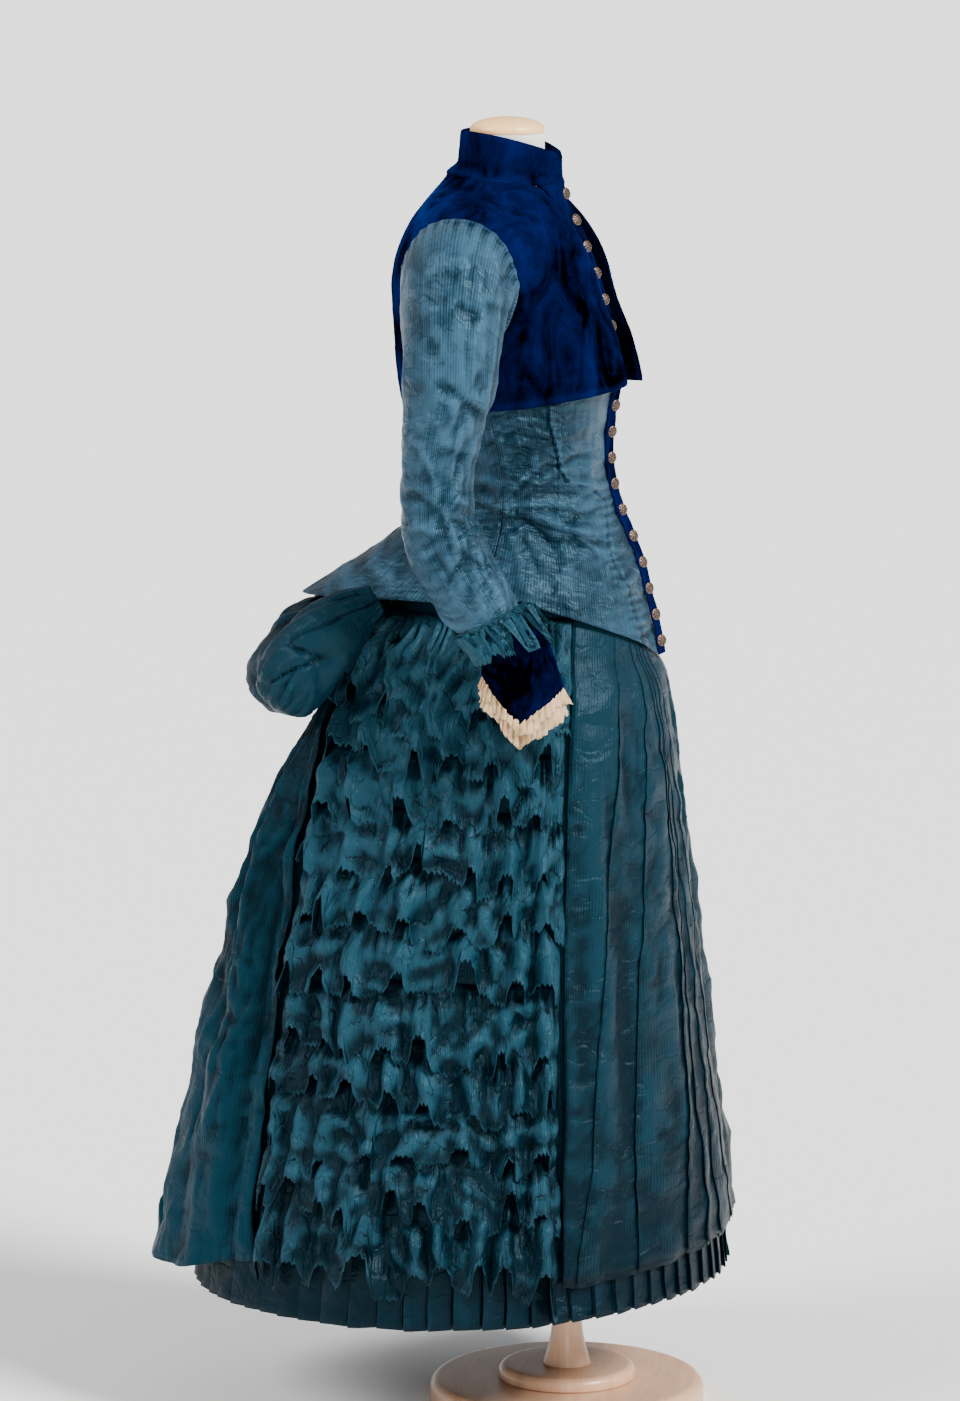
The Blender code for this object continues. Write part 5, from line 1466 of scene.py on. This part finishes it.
# %% [markdown]
# ## The velvet jacket and vest
#
# The jacket is short, with a lower edge that dips behind the arm, and its
# fronts hang away from the chest. Velvet is thick, so its edges are rounded
# over and it takes broad, soft hollows. Between the fronts lies a vest whose
# lapping edge is cut into little scallops beside the buttons.

# %% The jacket
JACKET_TOP, JACKET_STAND, JACKET_NECK_STAND = 1.466, 0.0070, 0.0030
JACKET_FRONT_LOW, JACKET_FRONT_DIP = 1.228, 0.0195
JACKET_BACK_LOW, JACKET_BACK_LIFT = 1.187, 0.0215
JACKET_FREE = {"right": 0.0170, "left": 0.0330}
SEAM_GAP, CHEST_MIDDLE, CHEST_HIGHEST = 0.0010, 0.08, 1.36
ARMHOLE_BACK, ARMHOLE_HEIGHT = 0.1105, 1.350
ARMHOLE_HALF_WIDTH, ARMHOLE_HALF_HEIGHT = 0.0595, 0.078
ARMHOLE_LAP, SLEEVE_HEAD_GAP, SLEEVE_HEAD_RISE = 0.0024, 0.0024, 0.0040
# Soft folds of the velvet, as seen from the side: from the armhole towards the
# bust, and where the back is hollowed above the waist.
JACKET_CREASES = (
    (0.052, 1.300, 0.002, 1.270, 0.009, -0.0022),
    (0.046, 1.270, 0.010, 1.232, 0.009, 0.0018),
    (0.050, 1.340, 0.006, 1.345, 0.009, -0.0016),
    (0.040, 1.392, -0.004, 1.372, 0.010, 0.0016),
    (0.020, 1.300, -0.022, 1.250, 0.010, -0.0014),
    (0.150, 1.262, 0.176, 1.222, 0.009, -0.0020),
    (0.140, 1.240, 0.150, 1.196, 0.008, 0.0016),
    (0.176, 1.330, 0.184, 1.268, 0.010, -0.0014),
    (0.120, 1.440, 0.160, 1.404, 0.010, -0.0012),
)


def collar_seam(turn):
    """Height of the seam between collar and jacket."""
    return JACKET_TOP + 0.004 - 0.006 * np.cos(turn)


def jacket_stand(turn, height, free):
    """The jacket lies close, and stands off the chest at its front edge, where
    it bulges most beside the third button."""
    loose = np.clip((1.44 - height) / 0.21, 0, 1) * np.clip(1 - np.abs(turn) / 0.9, 0, 1)
    loose = loose + 0.62 * bell((height - 1.395) / 0.048) * np.clip(1 - np.abs(turn) / 0.6, 0, 1)
    close = np.clip((height - 1.415) / 0.045, 0, 1)
    return mix(JACKET_STAND, JACKET_NECK_STAND, close) + free * loose


def jacket_edge(height):
    """How far from the middle each front's edge lies."""
    return 0.020 + 0.15 * np.clip(height - 1.23, 0, None)


def armhole_side(height, way):
    """The angle of the armhole's edge at a height, or of the seam above or
    below it. way is -1 for a front and 1 for a back."""
    rise = (height - ARMHOLE_HEIGHT) / ARMHOLE_HALF_HEIGHT
    half = ARMHOLE_HALF_WIDTH * np.sqrt(np.clip(1 - rise**2, 0, None))
    edge = turn_at(BODICE_SECTIONS, height, ARMHOLE_BACK + way * (half + 0.0008))
    return np.where(half > 0, edge, SIDE_SEAM + way * 0.0046)


def chest_core(grid):
    """Points inside the chest, level with each point of a grid on it."""
    return core(grid, CHEST_MIDDLE, np.minimum(grid[..., 2], CHEST_HIGHEST))


def velvet_marks(grid, seed):
    """Broad hollows, hand-placed folds, and a fine unevenness of the pile."""
    back, height = grid[..., 1], grid[..., 2]
    marks = creases(back, height, JACKET_CREASES) + 0.0013 * hills(back + grid[..., 0], height, 0.05, seed)
    return marks + 0.0003 * hills(back - grid[..., 0], height, 0.009, seed + 1)


def edge_sheen_and_wear(away):
    """Painted sheen and wear: 1.6 at an edge, falling to 0 a twentieth of the way across the piece."""
    return 1.6 * ease(0.05, 0.0, away)


share = np.linspace(0, 1, 56)
row_share = steps(84)
low = JACKET_FRONT_LOW - JACKET_FRONT_DIP * np.minimum(1.0, share * 1.1)
first = turn_across(BODICE_SECTIONS, JACKET_TOP, jacket_edge(JACKET_TOP))
top = collar_seam(mix(first, SIDE_SEAM, share)) - SEAM_GAP
height = mix(low, top, row_share)
edge = turn_across(BODICE_SECTIONS, height, jacket_edge(height))
turn = mix(edge, armhole_side(height, -1), share)
rolled = 1 - 0.55 * (1 - ease(0, 0.022, row_share)) - 0.45 * (1 - ease(0, 0.035, share[None, :]))
for side, sign in SIDES:
    grid = BODICE(turn, height, jacket_stand(turn, height, JACKET_FREE[side]))
    quiet = ease(0.0, 0.06, 1 - share) * ease(0.0, 0.05, 1 - row_share)
    marks = velvet_marks(grid, 300 + sign) * quiet - 0.0016 * (1 - rolled)
    grid = sided(pressed(grid, marks, chest_core(grid)), sign)
    make_piece(f"velvet_front_{side}", [grid], velvet, [f"jacket_front_{side}"], 0.0022,
               chest_core(grid), sheet="hung", pale=edge_sheen_and_wear(row_share))

share = np.linspace(-1, 1, 84)
low = JACKET_BACK_LOW + JACKET_BACK_LIFT * np.abs(share)
top = collar_seam(math.pi - 1.4 * np.abs(share)) - SEAM_GAP
height = mix(low, top, row_share)
turn = math.pi + (math.pi - armhole_side(height, 1)) * share
grid = BODICE(turn, height, jacket_stand(turn, height, 0.0))
quiet = ease(0.0, 0.08, 1 - np.abs(share)) * ease(0.0, 0.05, 1 - row_share)
middle_seam = 0.0005 * bell(share / 0.04) - 0.0010 * bell(share / 0.010)
marks = velvet_marks(grid, 310) * quiet + middle_seam - 0.0009 * (1 - ease(0, 0.022, row_share))
grid = pressed(grid, marks, chest_core(grid))
make_piece("velvet_back", [grid], velvet, ["jacket_back"], 0.0022, chest_core(grid),
           sheet="hung", pale=edge_sheen_and_wear(row_share))

# %% The vest with its scalloped edge, and the collar
VEST_STAND, VEST_LAP, VEST_RIDGE, VEST_RIDGE_WIDTH = 0.0034, 0.0075, 0.0050, 0.0225
BUTTON_COUNT, BUTTON_HIGHEST, BUTTON_LOWEST = 18, 1.449, 0.926
BUTTON_ACROSS = -0.0060
COLLAR_FRONT, COLLAR_BACK, COLLAR_ROUNDING = 1.4950, 1.5215, 0.010
# Front, back, how far back it is widest and half its width, below and above.
COLLAR_RINGS = ((0.0080, 0.1310, 0.071, 0.0550), (0.0090, 0.1280, 0.069, 0.0540))
BUTTON_STEP = (BUTTON_HIGHEST - BUTTON_LOWEST) / (BUTTON_COUNT - 1)
VEST_HIGH, VEST_LOW, VEST_INSIDE = 1.462, 0.910, (0.0, 0.10, 1.2)


def vest_surface(height, across, stand):
    """The vest stands forward towards the middle, where its edges lap."""
    turn = turn_across(BODICE_SECTIONS, height, across)
    ridge = VEST_RIDGE * np.clip(1 - np.abs(across - VEST_LAP) / VEST_RIDGE_WIDTH, 0, 1)
    return BODICE(turn, height, stand + ridge * np.clip((1.455 - height) / 0.05, 0, 1))


height = np.linspace(VEST_HIGH, VEST_LOW, 280)[:, None]
under_jacket, beside_jacket = jacket_edge(height) + 0.012, jacket_edge(height) - 0.0014
wide = mix(under_jacket, beside_jacket, np.clip((height - 1.39) / 0.025, 0, 1))
below = ease(1.245, 1.225, height)
scallop = np.abs(np.sin(math.pi * (height - BUTTON_LOWEST) / BUTTON_STEP + math.pi / 2)) ** 0.6
narrow = 0.0150 + 0.0034 * scallop - 0.0042 * ease(1.20, 0.93, height)
width = mix(wide, narrow, below)
share = np.linspace(0, 1, 14)
for side, sign in reversed(SIDES):
    first = VEST_LAP if sign < 0 else VEST_LAP + 0.0016
    across = mix(first, sign * width, share)
    grid = vest_surface(height, across, VEST_STAND)
    curl = -0.0011 * (1 - ease(0.0, 0.10, 1 - share)) + 0.0004 * hills(across, height, 0.008, 320)
    grid = pressed(grid, curl * below + 0.0006 * hills(across, height, 0.02, 321), VEST_INSIDE)
    # The lapping strip is painted lighter, most towards its scalloped edge: painted sheen and wear.
    make_piece(f"velvet_vest_{side}", [grid], velvet, [f"vest_{side}"], 0.0018, VEST_INSIDE,
               sheet="laid",
               pale=(0.5 + 1.2 * ease(0.6, 1.0, share)) * below)

turn = np.linspace(0.10, 2 * math.pi - 0.02, 220)
seam = collar_seam(turn)
to_front = np.minimum(turn, 2 * math.pi - turn)
corner = COLLAR_ROUNDING * bell((to_front - 0.02) / 0.16)
top = mix(COLLAR_FRONT, COLLAR_BACK, 0.5 - 0.5 * np.cos(turn)) - corner
top = top + 0.0085 * np.clip(np.sin(to_front), 0, 1) ** 1.5
share = steps(24)
front, back, widest, half_width = (
    mix(low, high, np.clip((share - 0.3) / 0.7, 0, 1)) for low, high in zip(*COLLAR_RINGS)
)
depth = np.where(np.cos(turn) > 0, widest - front, back - widest)
height = seam - 0.0035 + share * (top - seam + 0.0035)
upper = np.stack(np.broadcast_arrays(half_width * np.sin(turn), widest - depth * np.cos(turn), height), -1)
lower = BODICE(turn, np.minimum(seam, 1.470), JACKET_NECK_STAND + 0.0012)
lower[..., 2] = seam
blend = ease(0.0, 0.30, share)[..., None]
rise = np.array([0, 0, 1.0]) * height[..., None]
grid = (lower * (1 - blend) + upper * blend) * np.array([1, 1, 0]) + rise
inside = core(grid, 0.07, grid[..., 2])
marks = 0.0008 * hills(turn * 0.06, height, 0.018, 330) - 0.0010 * (1 - ease(0, 0.10, 1 - share))
marks = marks * ease(0.0, 0.1, share + 0.05)
for place, level in ((5.15, 1.487), (5.51, 1.470)):      # where buttons have pressed the pile
    away = np.hypot((turn - place) * 0.060, height - level)
    marks = marks - 0.0009 * bell((away - 0.0052) / 0.0016) - 0.0006 * bell(away / 0.002)
grid = pressed(grid, marks, inside)
make_piece("velvet_collar", [grid], velvet, ["collar"], 0.0022, inside, sheet="laid")

# %% [markdown]
# ## Eighteen buttons
#
# Each is a bronze dome pierced like filigree. The dome is a quarter ellipse
# spun round. Eight piercings in a ring, and five smaller ones nearer the
# middle, are pressed in where cos(8 a) or cos(5 a) and a bell along the radius
# are both high, and the same value is stored on the mesh, so that the material
# can darken them: painted shade, for holes that aren't cut through.

# %% The buttons
BUTTON_RADIUS, BUTTON_DEPTH, BUTTON_SHANK = 0.0070, 0.0036, 0.0012
RIM_SHARE = 0.14               # the share of the profile that is the rim
angle = whole_turn(40)
dome = steps(13)
quarter = (dome - RIM_SHARE) / (1 - RIM_SHARE) * math.pi / 2
radius = np.where(dome < RIM_SHARE, 0.93 + 0.5 * dome, np.cos(quarter))
rise = np.where(dome < RIM_SHARE, 2.2 * dome, 0.31 + 0.69 * np.sin(quarter))
petal = 0.5 + 0.5 * np.cos(8 * angle + 0 * dome)
ring = bell((radius - 0.66) / 0.16)
middle = bell((radius - 0.30) / 0.09) * (0.5 + 0.5 * np.cos(5 * angle))
pierced = np.clip(petal**1.5 * ring + 0.8 * middle, 0, 1) * (dome > RIM_SHARE)
rise = rise - 0.16 * pierced
radius = np.maximum(radius, 0.015) + 0 * angle

line = np.linspace(BUTTON_HIGHEST, BUTTON_LOWEST, BUTTON_COUNT)
centre, beside, along = (
    vest_surface(line + higher, np.full(line.shape, BUTTON_ACROSS + across), VEST_STAND)
    for higher, across in ((0.0, 0.0), (0.0, 0.004), (0.004, 0.0))
)
tilt = np.random.default_rng(9).uniform(-0.10, 0.10, (BUTTON_COUNT, 3))
side_way = unit(beside - centre) + 0.4 * tilt
out = unit(np.cross(side_way, along - centre))
out = unit(out + tilt + np.array([-0.62, 0.0, 0.0]))
up = unit(np.cross(out, side_way))
side_way = np.cross(up, out)
shape = (
    centre[:, None, None]
    + (BUTTON_SHANK + BUTTON_DEPTH * rise)[None, ..., None] * out[:, None, None]
    + (BUTTON_RADIUS * radius * np.cos(angle))[None, ..., None] * side_way[:, None, None]
    + (BUTTON_RADIUS * radius * np.sin(angle))[None, ..., None] * up[:, None, None]
)
names = [f"button_{number + 1:02d}" for number in range(BUTTON_COUNT)]
buttons = make_piece("buttons", list(shape), bronze, names, 0, VEST_INSIDE, closed=True, sharp=80)
# Stored for the bronze, which paints the piercings dark: painted shade.
hollow = buttons.data.attributes.new("hollow", "FLOAT", "POINT")
hollow.data.foreach_set("value", np.tile(pierced.ravel(), BUTTON_COUNT).astype(np.float32))

# %% [markdown]
# ## The sleeves
#
# A tailored sleeve follows the bent arm. Its upper part is a smooth curve from
# the armhole's ellipse to a ring about the arm, each point along its own cubic
# curve, and the rest runs through rings that lean as the elbow bends. The
# creases were listed as seen from the side and are pressed in on both the
# outer and the inner face. Most of them fan out from the bend of the elbow.

# %% Rings about the arm
# Columns: height of the ring's middle, how far out and back, half its width
# across and fore and aft, its lean.
SLEEVE_SECTIONS = (
    (1.250, 0.2110, 0.1135, 0.0480, 0.0562, 0.00),
    (1.185, 0.2180, 0.1225, 0.0450, 0.0475, 0.02),
    (1.120, 0.2230, 0.1285, 0.0430, 0.0430, 0.08),
    (1.070, 0.2270, 0.1195, 0.0430, 0.0480, 0.28),
    (1.030, 0.2320, 0.1000, 0.0425, 0.0470, 0.42),
    (1.000, 0.2370, 0.0800, 0.0415, 0.0445, 0.46),
    (0.976, 0.2400, 0.0600, 0.0385, 0.0365, 0.48),
)
CUFF_SECTIONS = (
    (0.972, 0.2420, 0.0420, 0.0365, 0.0375, 0.16),
    (0.945, 0.2440, 0.0325, 0.0375, 0.0405, 0.02),
    (0.912, 0.2460, 0.0260, 0.0420, 0.0480, -0.17),
)
CUFF_POINT, FRILL_DROP, HEAD_PUCKERS = 0.044, 0.030, 30
# Columns: how far back and how high each crease starts and ends, width, depth.
SLEEVE_CREASES = (
    (0.134, 1.373, 0.096, 1.378, 0.0060, -0.0022),
    (0.105, 1.344, 0.073, 1.322, 0.0055, -0.0026),
    (0.074, 1.355, 0.076, 1.313, 0.0050, 0.0020),
    (0.056, 1.371, 0.040, 1.365, 0.0045, -0.0018),
    (0.073, 1.345, 0.040, 1.322, 0.0050, -0.0024),
    (0.128, 1.257, 0.089, 1.231, 0.0055, -0.0024),
    (0.128, 1.241, 0.096, 1.217, 0.0045, 0.0018),
    (0.092, 1.233, 0.064, 1.203, 0.0055, -0.0042),
    (0.126, 1.182, 0.089, 1.166, 0.0055, -0.0022),
    (0.079, 1.242, 0.074, 1.270, 0.0045, -0.0020),
    (0.150, 1.190, 0.122, 1.119, 0.0045, 0.0022),
    (0.122, 1.119, 0.098, 1.048, 0.0045, 0.0024),
    (0.112, 1.024, 0.082, 1.061, 0.0055, -0.0024),
    (0.089, 1.175, 0.076, 1.127, 0.0060, -0.0032),
    (0.136, 1.304, 0.119, 1.291, 0.0045, -0.0016),
    (0.110, 1.100, 0.085, 1.089, 0.0055, -0.0034),
    (0.104, 1.122, 0.078, 1.106, 0.0050, 0.0022),
    (0.160, 1.130, 0.122, 1.108, 0.0060, -0.0022),
    (0.158, 1.090, 0.124, 1.084, 0.0060, 0.0018),
    (0.100, 1.066, 0.066, 1.040, 0.0055, -0.0026),
    (0.074, 1.046, 0.054, 1.012, 0.0050, 0.0018),
    (0.130, 1.060, 0.104, 1.030, 0.0055, -0.0018),
    (0.150, 1.330, 0.112, 1.336, 0.0060, 0.0014),
    (0.070, 1.290, 0.062, 1.240, 0.0060, -0.0018),
)


def around_arm(height, out, back, half_across, half_fore_aft, lean, turn, grow=0.0):
    """Points about the arm: centre + a cos(t) across + b sin(t) fore, where fore
    is turned down by the lean. Turn 0 is outward, a quarter turn forward."""
    x = out + (half_across + grow) * np.cos(turn)
    y = back - (half_fore_aft + grow) * np.sin(turn) * np.cos(lean)
    z = height + (half_fore_aft + grow) * np.sin(turn) * np.sin(lean)
    return np.stack(np.broadcast_arrays(x, y, z), -1)


def rings_through(table, turn, count):
    """A tube through a table of rings: so many of them, spaced evenly."""
    return around_arm(*np.moveaxis(even_curve(table)(steps(count)), -1, 0), turn)


def armhole_rings(turn):
    """The sleeve's upper edge, a little outside the armhole, and the ring
    where its head has risen straight out from the jacket."""
    back = ARMHOLE_BACK - (ARMHOLE_HALF_WIDTH + ARMHOLE_LAP) * np.sin(turn)
    height = ARMHOLE_HEIGHT + (ARMHOLE_HALF_HEIGHT + ARMHOLE_LAP) * np.cos(turn)
    around = turn_at(BODICE_SECTIONS, height, back)
    stand = JACKET_STAND + SLEEVE_HEAD_GAP
    return BODICE(around, height, stand), BODICE(around, height, stand + SLEEVE_HEAD_RISE)


def middles(grid):
    """The middle of each ring, once for each of its points."""
    return np.repeat(grid.mean(1, keepdims=True), grid.shape[1], 1)


# %% The two sleeves
for side, sign in SIDES:
    seed = 400 if sign > 0 else 430
    turn = whole_turn(108)
    upper = (0.5 + 0.5 * np.cos(turn))[:, None]
    edge, start = armhole_rings(turn)
    end = around_arm(*SLEEVE_SECTIONS[0], turn)
    leave = start + np.array([1.0, 0.0, 0.06]) * (0.010 + 0.056 * upper)
    arrive = end + np.array([0.0, 0.0, 1.0]) * (0.006 + 0.098 * upper)
    s = steps(46)[..., None]
    head = (1 - s) ** 3 * start + 3 * (1 - s) ** 2 * s * leave + 3 * (1 - s) * s**2 * arrive + s**3 * end
    arm = rings_through(SLEEVE_SECTIONS, turn, 90)[1:]
    grid = np.concatenate([edge[None], head, arm])
    back, height = grid[..., 1], grid[..., 2]
    around = turn[None, :]
    along = steps(len(grid))
    facing = np.clip(1.6 * np.abs(np.cos(around)), 0, 1)
    lower = ease(1.30, 1.16, height)
    marks = (1.6 + 0.3 * lower) * creases(back, height, SLEEVE_CREASES) * (0.25 + 0.75 * facing)
    across = back + 0.05 * np.cos(around)
    marks = marks + 0.0016 * crumple(across, 0.30 * height, 0.024, seed + 5)
    marks = marks + 0.0020 * lower * crumple(across, 0.8 * height, 0.034, seed + 4)
    marks = marks + 0.0007 * (0.4 + 0.6 * lower) * crumple(across, height, 0.015, seed + 6)
    beyond = along * len(grid)
    pucker = np.cos(HEAD_PUCKERS * around + 3 * hills(np.cos(around), np.sin(around), 0.5, seed + 7))
    marks = marks + 0.0016 * pucker * ease(15, 1, beyond) * ease(-0.3, 0.5, np.cos(around))
    marks = marks - 0.0022 * ease(0, 4, beyond)
    seam_line = 2.35 + 0.35 * along
    off = (around - seam_line) * 0.048
    marks = marks - 0.0010 * bell(off / 0.0016) + 0.0006 * bell(off / 0.006)
    marks = marks * ease(0, 3, beyond + 0.4)
    grid = sided(pressed(grid, marks, middles(grid), True), sign)
    make_piece(f"sleeve_silk_{side}", [grid], sleeve_silk, [f"sleeve_{side}"], 0.0008, middles(grid),
               closed=True, sheet="draped", sharp=26)

# %% [markdown]
# ## Wrists
#
# The sleeve ends in tufts of pinked silk over a velvet cuff that is cut to a
# point on the outside. A tuft is a tongue like those of the ruffles, but
# narrow, cut almost up to its seam, slanting and curled. Inside the cuff a
# pleated cotton frill shows as a border that follows the point.

# %% Ruffles, cuffs and frills
TUFT_COUNT, TUFT_ROWS = 17, 16
WRIST_RADIUS = 0.045           # where the wrinkles are laid round the arm
TUFT_SECTIONS = (
    (0.984, 0.2390, 0.0670, 0.0400, 0.0395, 0.470),
    (0.968, 0.2410, 0.0540, 0.0410, 0.0390, 0.420),
    (0.946, 0.2430, 0.0400, 0.0430, 0.0420, 0.300),
)


def cuff_point(turn):
    """How far the cuff's edge hangs below a level ring: a point outside."""
    return CUFF_POINT * np.where(np.cos(turn) > 0, 1 - np.abs(np.sin(turn)), 0.0)


for side, sign in SIDES:
    seed = 450 if sign > 0 else 470
    strips = []
    for layer in range(2):
        pinking = Pinking(TUFT_COUNT, TEETH, seed + 3 * layer, 0.30, 0.0040, offset=0.0)
        turn = 2 * math.pi * pinking.share
        down = steps(TUFT_ROWS)
        reach = (0.25 + 0.75 * pinking.cut) * pinking.each(0.50, 1.15) + 0.045 * pinking.tooth
        rings = np.moveaxis(even_curve(TUFT_SECTIONS)(down * reach), -1, 0)
        round_x, round_y = WRIST_RADIUS * np.cos(turn), WRIST_RADIUS * np.sin(turn)
        bend = 0.16 * hills(round_x, down * 0.05, 0.010, seed + layer)
        around = turn + (pinking.each(-0.28, 0.28) + bend) * down
        flare = pinking.each(-0.004, 0.012) * down**1.3
        twist = pinking.each(-1, 1) * (pinking.between - 0.5) * 0.013 * down
        crushed = crumple(round_x + 0.05 * down, round_y + 0.03 * down, 0.014, seed + layer)
        curl = pinking.each(-0.6, 1.0) * 0.008 * np.sin(pinking.each(2.0, 6.0) * down)
        grow = 0.0020 + 0.0022 * layer + flare + twist + curl * down + 0.0046 * crushed * ease(0.0, 0.4, down)
        strips.append(sided(around_arm(*rings, around, np.clip(grow, 0.0005, 0.015)), sign))
    make_piece(f"wrist_tufts_{side}", strips, ruffle_silk, [f"sleeve_ruffle_{side}"], 0.0005,
               (sign * 0.241, 0.052, 0.966), closed=True, sheet="gathered",
               sharp=30, pale=painted_hem_light_and_seam_shade(TUFT_ROWS))

    turn = whole_turn(96)
    grid = rings_through(CUFF_SECTIONS, turn, 28)
    down = steps(28)
    grid[..., 2] -= down * cuff_point(turn)
    marks = 0.0011 * hills(0.05 * np.cos(turn) + 0.2 * down, 0.05 * np.sin(turn), 0.022, seed + 3)
    marks = marks - 0.0009 * ease(0.94, 1.0, down) + 0.0006 * hills(0.05 * turn, 0.05 * down, 0.006, seed + 4)
    grid = sided(grid + (marks * ease(0, 0.1, down))[..., None] * unit(grid - middles(grid)), sign)
    make_piece(f"velvet_cuff_{side}", [grid], velvet, [f"cuff_{side}"], 0.0020, middles(grid),
               closed=True, sheet="draped")

    strips = []
    for tier, count in ((0, 46), (1, 40)):
        number = np.repeat(np.arange(count), 5)
        turn = 2 * math.pi * (number + np.tile([0.0, 0.3, 0.85, 1.0, 0.9], count)) / count
        stand = np.tile([0.0, 0.4, 1.0, 0.9, 0.4], count)
        ring_x, ring_y = WRIST_RADIUS * np.cos(turn), WRIST_RADIUS * np.sin(turn)
        down = steps(10)
        grow = -0.0064 + 0.0022 * tier + 0.0085 * down + (0.0034 * stand - 0.0017) * ease(0.0, 0.4, down)
        grow = grow + 0.0050 * hills(ring_x, ring_y, 0.012, seed + 6 + tier) * down
        grow = grow + 0.0014 * hills(ring_x + 0.3 * down, ring_y, 0.008, seed + 17 + tier) * down
        grid = around_arm(*CUFF_SECTIONS[-1], turn, grow)
        point = CUFF_POINT * np.where(np.cos(turn) > 0, 1 - (np.sin(turn) ** 2 + 0.012) ** 0.5, 0.0)
        step = 0.0034 * np.round(1.6 * hills(ring_x, ring_y, 0.013, seed + 5 + tier))
        grid[..., 2] -= np.maximum(point, 0.0) - 0.006 + (FRILL_DROP + 0.004) * (1 - 0.42 * tier) * down
        grid[..., 2] += (step + 0.0010 * hills(turn * 0.05, 0.0, 0.006, seed + 8)) * down
        strips.append(sided(grid, sign))
    make_piece(f"cotton_frill_{side}", strips, frill_cotton, [f"wrist_frill_{side}"], 0.0004,
               (sign * 0.246, 0.026, 0.900), closed=True, sheet="gathered",
               sharp=45)

# %% [markdown]
# ## Closing
#
# The size of the detailed model is printed.

# %% Sizes
low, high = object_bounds()
print("model", np.round(np.array(high) - np.array(low), 3), "m")
